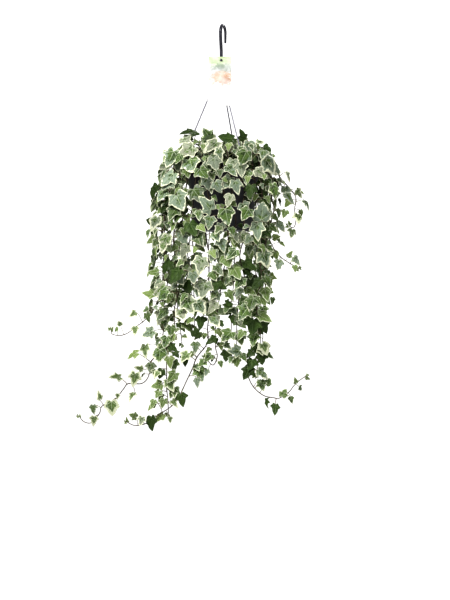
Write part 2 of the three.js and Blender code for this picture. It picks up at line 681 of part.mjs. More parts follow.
// Blade outline from the notch round to the apex, for the full and for the plain small leaf
const fullHalf = [[-0.16, 0.3], [0.38, 0.56], [0.5, 0.27]];
const plainHalf = [[0.2, 0.5], [0.46, 0.24]];

// The blade is left open at a gate of three points under the notch, where the petiole enters
function bladeFaces(leaf) {
  const { long, notch, tip, face } = leaf;
  const side = face.clone().cross(tip);
  const half = long < blade.plainBelow ? plainHalf : fullHalf;
  const narrow = blade.petioleWide / 2 / long;
  const mirrored = [...half].reverse().map(([u, v]) => [u, -v]);
  const rim = [...half, [1, 0], ...mirrored].map(([u, v]) => [u, v * leaf.spread]);
  const spots = [];
  const put = (u, v, depth) => {
    const rise = leaf.fold * Math.abs(v) - leaf.droop * u * Math.abs(u);
    const spot = notch.clone().addScaledVector(tip, u * long).addScaledVector(side, v * long);
    spots.push(spot.addScaledVector(face, rise * long + depth));
  };
  for (const [u, v] of rim) put(u, v, blade.thick / 2);
  for (const [u, v] of rim) put(u, v, -blade.thick / 2);
  put(0, narrow, blade.thick / 2);
  put(0, -narrow, blade.thick / 2);
  put(blade.gateForward / long, 0, -blade.gateDepth);
  const count = rim.length;
  const apex = half.length;
  const [right, left, under] = [2 * count, 2 * count + 1, 2 * count + 2];
  const index = [right, left, apex];
  for (let i = 0; i + 1 < count; i += 1) {
    index.push(i < apex ? right : left, i + 1, i);
    index.push(under, i + count, i + 1 + count);
    index.push(i, i + 1 + count, i + count, i, i + 1, i + 1 + count);
  }
  index.push(right, count, under, right, 0, count);
  index.push(count - 1, under, 2 * count - 1, count - 1, left, under);
  return { spots, index, gate: [right, left, under] };
}

function meshSolid(spots, index) {
  const geometry = new THREE.BufferGeometry();
  const positions = spots.flatMap((spot) => spot.toArray());
  geometry.setAttribute('position', new THREE.Float32BufferAttribute(positions, 3));
  geometry.setIndex(index);
  return solidOf(geometry);
}

// A closed blade, to test what it would touch
function bladeSolid(leaf) {
  const { spots, index, gate } = bladeFaces(leaf);
  return meshSolid(spots, [...index, ...gate.toReversed()]);
}

// The same with a straight petiole
function leafSolid(leaf) {
  const { spots, index, gate } = bladeFaces(leaf);
  const [right, left, under] = gate;
  const [a, b, c] = [spots.length, spots.length + 1, spots.length + 2];
  const shift = leaf.root.clone().sub(leaf.notch);
  for (const corner of gate) spots.push(spots[corner].clone().add(shift));
  index.push(left, right, a, left, a, b, under, left, b, under, b, c, right, under, c, right, c, a, a, c, b);
  return meshSolid(spots, index);
}

// Faces between two rings round a common axis, turning whichever ring is behind
function bridge(spots, near, far, axis, index) {
  const middle = (ring) => {
    const sum = new THREE.Vector3();
    for (const i of ring) sum.add(spots[i]);
    return sum.divideScalar(ring.length);
  };
  const first = spots[near[0]].clone().sub(middle(near));
  first.addScaledVector(axis, -first.dot(axis)).normalize();
  const second = axis.clone().cross(first);
  const angles = (ring) => {
    const centre = middle(ring);
    return ring.map((i) => {
      const arm = spots[i].clone().sub(centre);
      return Math.atan2(arm.dot(second), arm.dot(first));
    });
  };
  const wrap = (angle) => angle - FULL * Math.floor(angle / FULL);
  const nearAngles = angles(near);
  const farAngles = angles(far);
  let start = 0;
  for (let j = 1; j < far.length; j += 1) {
    const off = (k) => Math.abs(wrap(farAngles[k] - nearAngles[0] + Math.PI) - Math.PI);
    if (off(j) < off(start)) start = j;
  }
  let i = 0;
  let j = 0;
  while (i < near.length || j < far.length) {
    const nearNow = near[i % near.length];
    const farNow = far[(start + j) % far.length];
    const nearSpan = wrap(nearAngles[(i + 1) % near.length] - nearAngles[0]) || FULL;
    const farSpan = wrap(farAngles[(start + j + 1) % far.length] - farAngles[start]) || FULL;
    const nearStep = i < near.length ? nearSpan : Infinity;
    const farStep = j < far.length ? farSpan : Infinity;
    if (nearStep <= farStep) {
      index.push(nearNow, near[(i + 1) % near.length], farNow);
      i += 1;
    } else {
      index.push(nearNow, far[(start + j + 1) % far.length], farNow);
      j += 1;
    }
  }
}

// A leafy stem in one skin: two rings at each leaf, turned so that one side faces its petiole
const RING = 3;
const PAIR = 1.6;
const STEP = FULL / RING;

function vineSolid(vine) {
  const stations = [];
  for (const leaf of vine.leaves) {
    stations.push({ distance: leaf.distance - PAIR / 2, leaf, opens: true });
    stations.push({ distance: leaf.distance + PAIR / 2, leaf });
  }
  for (const distance of vine.along) {
    const crowded = vine.leaves.some((leaf) => Math.abs(leaf.distance - distance) < PAIR * 2);
    if (!crowded || distance === 0 || distance === vine.whole) stations.push({ distance });
  }
  stations.sort((a, b) => a.distance - b.distance);
  const across = new THREE.Vector3(1, 0.13, 0.07);
  const spots = [];
  const index = [];
  let turn = 0;
  stations.forEach((station, k) => {
    const { spot, girth } = stemSpot(vine, station.distance);
    const before = stemSpot(vine, Math.max(station.distance - 4, 0)).spot;
    const after = stemSpot(vine, Math.min(station.distance + 4, vine.whole)).spot;
    const heading = after.sub(before).normalize();
    across.addScaledVector(heading, -across.dot(heading)).normalize();
    const other = heading.clone().cross(across);
    if (station.leaf) {
      const reach = station.leaf.notch.clone().sub(station.leaf.root);
      const bearing = Math.atan2(reach.dot(other), reach.dot(across));
      const wanted = bearing - STEP / 2;
      turn = wanted + Math.round((turn - wanted) / STEP) * STEP;
      station.side = ((Math.round((wanted - turn) / STEP) % RING) + RING) % RING;
    }
    for (let c = 0; c < RING; c += 1) {
      const angle = turn + c * STEP;
      const corner = spot.clone().addScaledVector(across, girth * Math.cos(angle));
      spots.push(corner.addScaledVector(other, girth * Math.sin(angle)));
    }
    if (k === 0) return;
    const opened = stations[k - 1];
    for (let c = 0; c < RING; c += 1) {
      const a = (k - 1) * RING + c;
      const b = (k - 1) * RING + ((c + 1) % RING);
      if (opened.opens && opened.side === c) opened.quad = [a, b, b + RING, a + RING];
      else index.push(a, b, b + RING, a, b + RING, a + RING);
    }
  });
  const last = (stations.length - 1) * RING;
  index.push(0, 2, 1, last, last + 1, last + 2);
  for (const { quad, leaf } of stations.filter((station) => station.quad)) {
    const base = spots.length;
    const faces = bladeFaces(leaf);
    spots.push(...faces.spots);
    index.push(...faces.index.map((i) => i + base));
    const axis = leaf.notch.clone().sub(leaf.root).normalize();
    bridge(spots, quad, faces.gate.map((i) => i + base), axis, index);
  }
  return meshSolid(spots, index);
}

// Placing: a leaf is taken when it clears what stands already
const ATTEMPTS_PLACED = 24;
const ATTEMPTS_GROWN = 48;

function boxGap(a, b) {
  let gap = 0;
  for (let k = 0; k < 3; k += 1) gap = Math.max(gap, a.min[k] - b.max[k], b.min[k] - a.max[k]);
  return gap;
}

function clears(solid, bladeOnly, owner, standing) {
  const box = solid.boundingBox();
  for (const other of standing) {
    const wanted = other.owner === owner ? CLEAR_OWN : CLEAR_OTHER;
    if (boxGap(box, other.box) > wanted) continue;
    const tested = other.stemOf === owner ? bladeOnly : solid;
    if (tested.minGap(other.solid, wanted + 0.5) < wanted) return false;
  }
  return true;
}

function stand(standing, solid, owner, stemOf) {
  standing.push({ solid, owner, stemOf, box: solid.boundingBox() });
}

// Roots of two leaves stay apart, and a petiole leaves its stem and enters its blade freely
function wellSet(vine, leaf) {
  if (vine.leaves.some((other) => Math.abs(other.distance - leaf.distance) < ROOT_SPACE)) return false;
  if (leaf.distance < ROOT_SPACE || leaf.distance > vine.whole - 2) return false;
  const reach = leaf.notch.clone().sub(leaf.root).normalize();
  if (Math.abs(reach.dot(leaf.heading)) > LEAN_MOST) return false;
  return reach.dot(leaf.tip.clone().add(leaf.face)) >= ENTRY_LEAST;
}

// Whether a blade stays inside the plant's edges
function withinEdges(leaf) {
  const across = Math.abs(leaf.face.clone().cross(leaf.tip).x) * leaf.long * plainHalf[0][1] * leaf.spread;
  const middle = leaf.notch.x + leaf.long * leaf.tip.x * plainHalf[0][0];
  const end = leaf.notch.x + leaf.long * leaf.tip.x;
  const edge = edges.find((entry) => leaf.notch.z > entry.above);
  return Math.min(middle - across, end) > edge.left && Math.max(middle + across, end) < edge.right;
}

function growLeaf(vine, standing, attempts, make) {
  for (let attempt = 0; attempt < attempts; attempt += 1) {
    const leaf = make(attempt);
    if (!leaf || !wellSet(vine, leaf)) continue;
    const solid = leafSolid(leaf);
    if (!clears(solid, bladeSolid(leaf), vine.name, standing)) continue;
    stand(standing, solid, vine.name);
    vine.leaves.push(leaf);
    return;
  }
}

function stemSolid(vine) {
  const [thick, thin] = vine.girth;
  const radii = vine.path.map((_, i) => THREE.MathUtils.lerp(thick, thin, vine.along[i] / vine.whole));
  return solidOf(sweep(vine.path, radii, 3));
}

function leafDistances(vine) {
  const list = [];
  const first = vine.turn === undefined ? 32 : 60;
  let distance = first;
  while (distance < vine.whole - 3) {
    list.push(distance);
    distance += vine.every * THREE.MathUtils.lerp(1.4, 0.9, distance / vine.whole);
  }
  return list;
}

// Assembly
const ivy = new THREE.Group();

function addMesh(name, solid, colour, roughness) {
  const material = new THREE.MeshStandardMaterial({ color: colour, roughness, metalness: 0 });
  const mesh = new THREE.Mesh(geometryOf(solid), material);
  mesh.name = name;
  ivy.add(mesh);
}

const vines = [...vineList, ...sprigList].map(vineOf);
const fixed = {
  pot: potSolid(),
  soil: soilSolid(vines),
  hanger: hangerSolid(),
  tag: tagSolid(),
};
for (const [name, turn] of Object.entries(strandTurns)) fixed[name] = strandSolid(turn);

const standing = [];
for (const [name, solid] of Object.entries(fixed)) stand(standing, solid, name);
for (const vine of vines) {
  vine.leaves = [];
  stand(standing, stemSolid(vine), vine.name, vine.name);
}
for (const vine of vines) {
  (vine.placed ?? []).forEach((place, index) => {
    growLeaf(vine, standing, ATTEMPTS_PLACED, (attempt) => placedLeaf(vine, place, index, attempt));
  });
}
for (const vine of vines) {
  leafDistances(vine).forEach((distance, index) => {
    const { spot } = stemSpot(vine, distance);
    if (vine.bare?.some(([low, high]) => spot.z > low && spot.z < high)) return;
    growLeaf(vine, standing, ATTEMPTS_GROWN, (attempt) => {
      const leaf = grownLeaf(vine, distance, index, attempt);
      return vine.free || withinEdges(leaf) ? leaf : null;
    });
  });
}

addMesh('pot', fixed.pot, colours.pot, 0.45);
addMesh('soil', fixed.soil, colours.soil, 0.95);
addMesh('hanger', fixed.hanger, colours.hanger, 0.35);
for (const name of Object.keys(strandTurns)) addMesh(name, fixed[name], colours.strand, 0.45);
addMesh('tag', fixed.tag, colours.tag, 0.5);
for (const vine of vines) {
  const colour = vine.front ? colours.leafFront : colours.leafBack;
  addMesh(vine.name, vineSolid(vine), colour, 0.55);
}

export default ivy;
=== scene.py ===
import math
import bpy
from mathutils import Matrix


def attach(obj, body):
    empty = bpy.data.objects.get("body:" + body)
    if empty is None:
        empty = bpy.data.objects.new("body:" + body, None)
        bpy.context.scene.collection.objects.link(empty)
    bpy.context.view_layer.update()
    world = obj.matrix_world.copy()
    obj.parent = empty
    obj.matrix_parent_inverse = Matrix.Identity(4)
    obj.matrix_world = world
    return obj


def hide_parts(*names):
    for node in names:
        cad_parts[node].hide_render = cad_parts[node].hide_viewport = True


bl_info = {
    "name": "Potted White Wonder English Ivy",
    "version": (1, 0, 0),
    "blender": (4, 5, 0),
    "location": "3D View > Sidebar > Ivy",
    "description": "Builds a hanging pot of variegated english ivy round its plain solid model",
    "category": "Add Mesh",
}

from functools import cache

import bmesh
import bpy
import numpy as np
from bpy.props import (
    FloatProperty,
    FloatVectorProperty,
    IntProperty,
    PointerProperty,
)
from mathutils import Vector
from mathutils.bvhtree import BVHTree
from mathutils.kdtree import KDTree

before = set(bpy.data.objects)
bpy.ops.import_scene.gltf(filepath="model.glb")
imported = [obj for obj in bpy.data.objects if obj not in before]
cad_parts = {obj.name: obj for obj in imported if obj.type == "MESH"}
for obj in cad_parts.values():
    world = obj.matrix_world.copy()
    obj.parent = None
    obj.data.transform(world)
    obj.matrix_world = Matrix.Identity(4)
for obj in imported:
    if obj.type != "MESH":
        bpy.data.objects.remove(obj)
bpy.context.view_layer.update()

MM = 0.001
BODY = "root"

# The sizes, routes and places below are those of the plain solids, in millimetres.
POT = dict(
    rim_top=-278, rim_radius=76, base_radius=58, height=130, wall=1.6, floor=2,
    collar=14, ledge=3.5, drains=5, drain_radius=4, drain_circle=42,
)
LUG = dict(circle=80, reach=85, wide=9, thick=5, hole=1.9)
SOIL = dict(top=-291, dome=3, hole_depth=14)
HOOK = dict(tube=3.25, tip=2.2, bend=15.75, drop=-12.5, turn=72, tip_drop=-29)
HOOK_STEM = ((-4.7, -14.4, -24), (-4.1, -8, -36), (-3.6, -2, -47), (-3.5, 0, -58), (-3.7, 0, -72))
HUB = dict(x=-4.6, z=-104, radius=10, thick=4, circle=6.8)
STRAND = dict(
    radius=1.3, ball=2.3, bend_z=-264, shoulder=2.6, shoulder_top=-256, barb=3.1,
    barb_long=7,
)
STRAND_TURNS = {"strand_left": 184, "strand_front": -62, "strand_back": 70}
TAG = dict(
    x=-6, wide=49, tall=104, thick=0.8, corner=4, tilt=16, hole_z=-67.4,
    top_margin=7.6, hole=2,
)
PEG = dict(x=-3.6, radius=1.5, head=2.75, head_thick=1.2)
GAP = 0.3
RISE = dict(root_circle=36, shoulder_circle=61, shoulder_z=-255, over_circle=88, over_z=-262)
SPACING = 32
SWAY = 9
SPREAD_AXIS = 45
FIRST_ROOT = 28
ROOT_SPACE = 4
PLAIN_BELOW = 31
TRIES_PLACED = 24
TRIES_GROWN = 48
BLADE_THICK = 0.75
MATCH = 0.08

# Stems: where each crosses the rim (turn, degrees) or stands in the soil (root), blade
# lengths at its start and end (long), the stem between leaves (every), the heights left to
# placed leaves alone (bare), the points it passes (route), and its placed leaves: blade
# middle x and z, blade length, apex direction seen from the front, turn about the midrib,
# and kind of leaf (see TONES; d is partly painted shade).
VINES = (
    dict(
        name="vine_left_low",
        turn=173,
        long=(36, 23),
        every=24,
        bare=((-800, -640),),
        route=(
            (-113, -2, -322), (-119, -16, -400), (-115, -30, -480), (-115, -42, -560),
            (-122, -48, -620), (-135, -52, -658), (-146, -54, -670), (-149, -55, -696),
            (-164, -56, -711), (-183, -57, -711), (-199, -58, -722), (-218, -60, -743),
            (-237, -60, -755), (-248, -60, -770), (-261, -60, -788), (-276, -60, -786),
            (-285, -60, -774),
        ),
        placed=(
            (-126, -292, 22, -150, 65, "s"), (-140, -390, 24, 170, 20, "d"),
            (-142, -428, 22, -160, 0, "p"), (-123, -580, 32, -110, 10, "s"),
            (-148, -612, 26, -150, 0, "s"), (-154, -646, 26, -100, 20, "f"),
            (-178, -654, 24, -172, 40, "p"), (-142, -680, 24, -100, 10, "m"),
            (-166, -681, 18, 170, 0, "f"), (-174, -702, 28, -90, 0, "f"),
            (-212, -698, 24, 170, 30, "f"), (-244, -734, 19, 100, 30, "f"),
            (-219, -758, 30, -95, 0, "f"), (-254, -784, 20, -105, 0, "f"),
        ),
    ),
    dict(
        name="vine_left_arc",
        turn=200,
        long=(37, 20),
        every=25,
        bare=((-640, -562),),
        route=(
            (-104, -42, -312), (-112, -47, -380), (-115, -49, -456), (-113, -50, -518),
            (-126, -50, -548), (-138, -52, -563), (-156, -54, -586), (-170, -56, -599),
            (-187, -58, -611), (-203, -60, -616), (-215, -60, -613), (-221, -60, -602),
        ),
        placed=(
            (-110, -260, 26, -135, 0, "p"), (-90, -279, 26, -100, 10, "s"),
            (-106, -314, 28, -100, 0, "s"), (-133, -451, 22, -100, 65, "p"),
            (-138, -492, 24, 175, 0, "o"), (-148, -534, 24, 180, 0, "p"),
            (-128, -514, 22, -140, 0, "s"), (-148, -580, 20, -60, 20, "g"),
            (-178, -574, 17, -140, 0, "f"), (-204, -592, 11, 120, 0, "f"),
        ),
    ),
    dict(
        name="vine_left_mid",
        turn=216,
        long=(39, 29),
        every=23,
        route=(
            (-91, -66, -312), (-99, -68, -390), (-98, -68, -470), (-90, -70, -540),
            (-84, -72, -600), (-80, -72, -636),
        ),
        placed=(
            (-58, -262, 28, -100, 0, "s"), (-108, -542, 26, -120, 0, "g"),
            (-120, -340, 28, -130, 20, "m"), (-84, -330, 26, -60, 40, "m"),
            (-78, -426, 28, -60, 0, "s"), (-90, -490, 24, -80, 10, "d"),
            (-92, -575, 20, -60, 0, "o"), (-84, -596, 18, -50, 40, "d"),
        ),
    ),
    dict(
        name="vine_left_fall",
        turn=230,
        long=(38, 24),
        every=24,
        route=(
            (-74, -84, -308), (-82, -88, -380), (-82, -88, -460), (-86, -86, -530),
            (-98, -82, -600), (-113, -78, -661), (-110, -77, -684), (-113, -76, -715),
            (-110, -76, -740), (-107, -75, -774),
        ),
        placed=(
            (-70, -296, 22, -70, 0, "o"), (-73, -479, 30, -70, 0, "s"),
            (-70, -518, 32, -80, 20, "d"), (-102, -606, 22, -90, 0, "g"),
            (-112, -628, 24, -110, 0, "g"), (-98, -640, 18, -30, 0, "d"),
            (-124, -654, 26, -100, 0, "g"), (-90, -654, 24, -60, 0, "d"),
            (-96, -674, 22, -90, 0, "g"), (-100, -697, 26, -130, 0, "o"),
            (-122, -690, 18, -110, 0, "d"), (-130, -714, 24, -150, 0, "o"),
            (-98, -727, 24, -110, 0, "g"),
        ),
    ),
    dict(
        name="vine_left_front",
        turn=242,
        long=(38, 30),
        every=24,
        bare=((-376, -306),),
        route=(
            (-52, -92, -304), (-58, -96, -380), (-59, -95, -460), (-57, -92, -540),
            (-55, -88, -600),
        ),
        placed=(
            (-57, -503, 26, -90, 0, "s"), (-65, -558, 34, -70, 0, "m"),
            (-46, -428, 28, -60, 10, "m"), (-66, -587, 18, -130, 30, "o"),
        ),
    ),
    dict(
        name="vine_centre_left",
        turn=254,
        long=(38, 22),
        every=24,
        bare=((-800, -690),),
        route=(
            (-27, -103, -306), (-30, -105, -390), (-27, -102, -480), (-26, -96, -560),
            (-27, -91, -600), (-34, -88, -630), (-50, -87, -658), (-57, -85, -680),
            (-66, -84, -701), (-80, -82, -726), (-95, -80, -744), (-108, -79, -757),
            (-126, -78, -773), (-150, -77, -788), (-170, -76, -793), (-191, -75, -785),
        ),
        placed=(
            (-32, -290, 26, -100, 0, "c"), (-30, -322, 32, -80, 0, "s"),
            (-32, -360, 34, 130, 0, "s"), (-32, -391, 24, 0, 30, "c"),
            (-20, -459, 26, -100, 0, "s"), (-43, -478, 32, -90, 0, "s"),
            (-38, -526, 34, -100, 0, "s"), (-44, -558, 26, -110, 10, "s"),
            (-22, -578, 24, -90, 0, "o"), (-44, -590, 26, -80, 0, "d"),
            (-52, -612, 22, -50, 0, "d"), (-53, -638, 24, -90, 0, "m"),
            (-22, -624, 24, -150, 0, "d"), (-74, -664, 24, -90, 0, "d"),
            (-80, -741, 26, -80, 20, "d"), (-118, -748, 20, -120, 0, "o"),
            (-137, -749, 20, -100, 0, "o"), (-140, -787, 28, -90, 40, "d"),
            (-176, -773, 16, 150, 0, "o"), (-160, -783, 18, -110, 0, "c"),
        ),
    ),
    dict(
        name="vine_centre",
        turn=265,
        long=(37, 20),
        every=26,
        bare=((-400, -330),),
        route=(
            (-2, -104, -304), (4, -107, -380), (9, -105, -450), (2, -103, -490), (-3, -101, -530),
            (-7, -99, -565), (-11, -98, -600), (-16, -97, -636), (-15, -96, -656), (-21, -96, -673),
            (-29, -95, -667), (-35, -95, -655),
        ),
        placed=(
            (-6, -262, 28, -90, 40, "c"), (-16, -280, 28, -80, 0, "s"),
            (12, -352, 28, -100, 0, "s"), (-26, -396, 30, -90, 0, "m"), (-6, -302, 24, -90, 0, "m"),
            (-10, -326, 26, -60, 0, "s"), (-4, -410, 30, -90, 0, "s"), (-2, -440, 28, -70, 0, "s"),
            (8, -470, 28, -80, 20, "o"), (-12, -498, 18, -90, 0, "p"), (-2, -520, 26, -20, 0, "d"),
            (-16, -540, 24, -140, 0, "m"), (-20, -561, 28, -110, 0, "s"),
            (-2, -594, 18, -30, 0, "d"), (6, -622, 22, -80, 0, "s"),
        ),
    ),
    dict(
        name="vine_right_inner",
        turn=276,
        long=(36, 27),
        every=26,
        bare=((-402, -290),),
        route=(
            (14, -96, -306), (22, -95, -390), (24, -92, -470), (26, -89, -550), (27, -86, -610),
            (24, -84, -670),
        ),
        placed=(
            (18, -284, 28, -90, 0, "s"), (8, -318, 30, -110, 0, "m"), (24, -431, 30, -90, 0, "p"),
            (34, -510, 22, -70, 0, "m"), (30, -533, 24, -90, 0, "s"), (12, -553, 16, -15, 40, "d"),
            (18, -585, 24, -80, 20, "d"), (32, -586, 22, -70, 0, "m"), (34, -622, 24, -60, 0, "g"),
            (22, -645, 26, 180, 0, "s"), (6, -656, 24, -90, 0, "d"), (27, -670, 28, -90, 0, "o"),
        ),
    ),
    dict(
        name="vine_right_low",
        turn=287,
        long=(38, 21),
        every=24,
        bare=((-402, -310), (-760, -700),),
        route=(
            (38, -98, -306), (38, -101, -390), (34, -100, -460), (41, -98, -496), (50, -96, -530),
            (54, -93, -580), (52, -90, -634), (48, -88, -686), (58, -86, -714), (77, -84, -733),
            (96, -82, -738), (113, -80, -739), (128, -79, -727), (140, -78, -716), (152, -77, -705),
            (165, -76, -694),
        ),
        placed=(
            (36, -292, 28, -80, 0, "s"), (26, -326, 30, -70, 10, "s"), (44, -368, 28, -60, 0, "s"),
            (48, -492, 16, -60, 0, "d"), (44, -557, 26, -90, 0, "d"), (58, -597, 32, -90, 0, "d"),
            (64, -642, 22, -60, 0, "d"), (76, -714, 22, -70, 0, "g"), (88, -706, 16, 60, 0, "g"),
            (86, -748, 18, -90, 55, "d"), (102, -760, 24, -90, 0, "d"), (119, -728, 18, 70, 0, "g"),
            (134, -742, 15, -90, 0, "g"), (142, -704, 13, 100, 0, "o"),
        ),
    ),
    dict(
        name="vine_right_front",
        turn=307,
        long=(38, 28),
        every=25,
        route=(
            (62, -88, -306), (64, -92, -380), (62, -92, -450), (64, -90, -520),
        ),
        placed=(
            (46, -306, 30, -100, 0, "m"), (54, -346, 30, -90, 20, "s"), (66, -412, 34, -90, 0, "s"),
        ),
    ),
    dict(
        name="vine_right_bunch",
        turn=318,
        long=(38, 28),
        every=18,
        route=(
            (76, -74, -308), (78, -82, -390), (74, -86, -470), (70, -86, -540), (71, -84, -600),
            (72, -80, -660), (66, -76, -696),
        ),
        placed=(
            (76, -375, 36, 90, 0, "s"), (78, -548, 20, -60, 0, "o"), (80, -599, 26, -70, 0, "d"),
            (60, -624, 30, -90, 0, "g"), (76, -664, 30, -90, 10, "d"), (55, -672, 26, -110, 0, "d"),
        ),
    ),
    dict(
        name="vine_right_mid",
        turn=330,
        long=(34, 19),
        every=24,
        route=(
            (92, -48, -310), (97, -54, -370), (92, -58, -412), (100, -60, -440), (114, -62, -458),
            (130, -64, -474), (151, -66, -483),
        ),
        placed=(
            (105, -422, 17, 20, 0, "p"), (104, -458, 17, -90, 10, "p"), (132, -456, 16, 60, 0, "p"),
            (142, -484, 15, -70, 0, "o"),
        ),
    ),
    dict(
        name="vine_right_side",
        turn=344,
        long=(38, 28),
        every=19,
        route=(
            (92, -28, -314), (88, -36, -390), (84, -42, -470), (80, -46, -550), (78, -48, -620),
            (76, -50, -668),
        ),
        placed=(
            (92, -506, 26, -90, 40, "p"), (88, -532, 20, -100, 0, "p"),
        ),
    ),
    dict(
        name="vine_right_curl",
        turn=358,
        long=(31, 18),
        every=29,
        route=(
            (118, -12, -304), (136, -18, -323), (146, -21, -342), (145, -24, -366),
            (145, -26, -386), (138, -28, -402), (128, -29, -397),
        ),
        placed=(
            (126, -331, 24, -70, 0, "s"), (128, -354, 18, -120, 0, "p"),
            (152, -334, 22, -70, 55, "m"), (113, -352, 16, -90, 60, "d"),
        ),
    ),
    dict(
        name="vine_right_back",
        turn=14,
        long=(38, 28),
        every=20,
        route=(
            (94, 24, -314), (90, 22, -390), (85, 16, -470), (80, 8, -550), (76, 0, -600),
        ),
    ),
    dict(
        name="vine_back_right",
        turn=32,
        long=(38, 28),
        every=22,
        route=(
            (82, 54, -312), (82, 56, -390), (78, 52, -470), (72, 48, -550),
        ),
    ),
    dict(
        name="vine_back_a",
        turn=52,
        long=(38, 28),
        every=29,
        route=(
            (66, 80, -312), (70, 80, -390), (66, 76, -480), (60, 72, -540),
        ),
    ),
    dict(
        name="vine_back_b",
        turn=86,
        long=(38, 28),
        every=29,
        route=(
            (10, 102, -310), (16, 104, -400), (18, 100, -490), (14, 94, -570), (16, 90, -620),
        ),
    ),
    dict(
        name="vine_back_c",
        turn=103,
        long=(38, 28),
        every=29,
        route=(
            (-24, 100, -312), (-28, 104, -390), (-30, 100, -470),
        ),
    ),
    dict(
        name="vine_back_d",
        turn=124,
        long=(38, 28),
        every=29,
        route=(
            (-60, 84, -312), (-66, 86, -390), (-68, 82, -480), (-64, 78, -560),
        ),
    ),
    dict(
        name="vine_back_left",
        turn=143,
        long=(38, 28),
        every=29,
        route=(
            (-88, 58, -312), (-96, 58, -390), (-98, 54, -460),
        ),
    ),
    dict(
        name="vine_left_back",
        turn=159,
        long=(38, 28),
        every=25,
        route=(
            (-106, 30, -312), (-116, 24, -390), (-121, 12, -470), (-124, 2, -550), (-122, -6, -600),
        ),
    ),
)

SPRIGS = (
    dict(
        name="crown_left",
        root=(-24, -20),
        long=(36, 27),
        every=9,
        route=(
            (-32, -24, -262), (-48, -30, -240), (-66, -34, -228),
        ),
        placed=(
            (-72, -236, 30, -60, 0, "s"), (-68, -214, 34, 178, 50, "d"),
        ),
    ),
    dict(
        name="crown_front",
        root=(-4, -26),
        long=(36, 27),
        every=9,
        route=(
            (-6, -32, -258), (-12, -38, -238), (-22, -40, -222),
        ),
        placed=(
            (-32, -217, 25, 120, 0, "g"), (6, -226, 30, 176, 25, "d"),
        ),
    ),
    dict(
        name="crown_right",
        root=(20, -20),
        long=(36, 27),
        every=9,
        route=(
            (24, -26, -260), (32, -34, -240), (46, -36, -226),
        ),
        placed=(
            (38, -220, 24, 90, 50, "d"), (52, -244, 27, -80, 0, "s"), (12, -250, 26, -100, 0, "c"),
        ),
    ),
    dict(
        name="crown_back_left",
        root=(-18, 14),
        long=(36, 27),
        every=9,
        route=(
            (-22, 18, -260), (-34, 26, -240), (-48, 34, -228),
        ),
    ),
    dict(
        name="crown_back_right",
        root=(16, 16),
        long=(36, 27),
        every=9,
        route=(
            (20, 22, -260), (32, 28, -238), (44, 34, -226),
        ),
    ),
)



# Leafy stems, worked out as the plain solids are
def seeded(seed):
    """Seeded random numbers between 0 and 1"""
    state = seed & 0xFFFFFFFF

    def draw():
        nonlocal state
        state = (state + 0x6D2B79F5) & 0xFFFFFFFF
        mix = ((state ^ (state >> 15)) * (state | 1)) & 0xFFFFFFFF
        mix ^= (mix + (((mix ^ (mix >> 7)) * (mix | 61)) & 0xFFFFFFFF)) & 0xFFFFFFFF
        return ((mix ^ (mix >> 14)) & 0xFFFFFFFF) / 4294967296

    return draw


def vec(*values):
    return np.array(values, float)


def unit(v):
    return v / math.sqrt(v @ v)


def cross(a, b):
    return vec(a[1] * b[2] - a[2] * b[1], a[2] * b[0] - a[0] * b[2], a[0] * b[1] - a[1] * b[0])


def lerp(a, b, share):
    return a + (b - a) * share


def polar(circle, degrees, z):
    angle = math.radians(degrees)
    return vec(circle * math.cos(angle), circle * math.sin(angle), z)


def turned(v, axis, degrees):
    """v turned about a unit axis"""
    angle = math.radians(degrees)
    return v * math.cos(angle) + cross(axis, v) * math.sin(angle) + axis * (axis @ v) * (1 - math.cos(angle))


def between(before, start, end, after, t):
    """A point of the smooth curve that passes start and end"""
    leave, arrive = 0.5 * (end - before), 0.5 * (after - start)
    bow = 3 * (end - start) - 2 * leave - arrive
    return start + leave * t + bow * t**2 + (2 * (start - end) + leave + arrive) * t**3


def curve_point(points, span, t):
    start, end = points[span], points[span + 1]
    before = points[span - 1] if span else 2 * start - end
    after = points[span + 2] if span + 2 < len(points) else 2 * end - start
    return between(before, start, end, after, t)


def stem_path(points):
    path = []
    for span in range(len(points) - 1):
        gap = points[span + 1] - points[span]
        pieces = max(1, math.floor(math.sqrt(gap @ gap) / SPACING + 0.5))
        path += [curve_point(points, span, step / pieces) for step in range(pieces)]
    return path + [points[-1]]


def grow_stem(entry, number):
    """The path of a stem and what its leaves need to know of it"""
    low = SOIL["top"] - SOIL["hole_depth"]
    turn = entry.get("turn")
    if turn is None:
        start = [vec(*entry["root"], low), vec(*entry["root"], SOIL["top"] + 6)]
    else:
        circle = RISE["root_circle"] + (number % 3) * 8
        start = [
            polar(circle, turn, low),
            polar(circle, turn, SOIL["top"] + 6),
            polar(RISE["shoulder_circle"], turn, RISE["shoulder_z"] + (number % 4) * 4),
            polar(RISE["over_circle"], turn, RISE["over_z"]),
        ]
    path = stem_path(start + [vec(*place) for place in entry["route"]])
    if turn is not None:
        draw = seeded((number + 1) * 7919)
        for i in range(5, len(path) - 1):
            path[i][0] += (draw() - 0.5) * SWAY
            path[i][1] += (draw() - 0.5) * SWAY * 0.8
    along = [0.0]
    for a, b in zip(path, path[1:]):
        along.append(along[-1] + math.sqrt((b - a) @ (b - a)))
    stem = dict(entry)
    stem.update(
        turn=turn, seed=number + 1, path=path, along=along, whole=along[-1], leaves=[],
        front=path[len(path) // 2][1] < 8, crown=turn is None,
    )
    places = np.arange(FIRST_ROOT, stem["whole"] - 2, 2.5)
    stem["roots"] = [(d, *stem_spot(stem, d)) for d in places]
    return stem


def stem_spot(stem, distance):
    """The point at a distance along a stem, and its heading there"""
    along, path = stem["along"], stem["path"]
    i = 1
    while i < len(path) - 1 and along[i] < distance:
        i += 1
    share = (distance - along[i - 1]) / (along[i] - along[i - 1])
    return lerp(path[i - 1], path[i], share), unit(path[i] - path[i - 1])


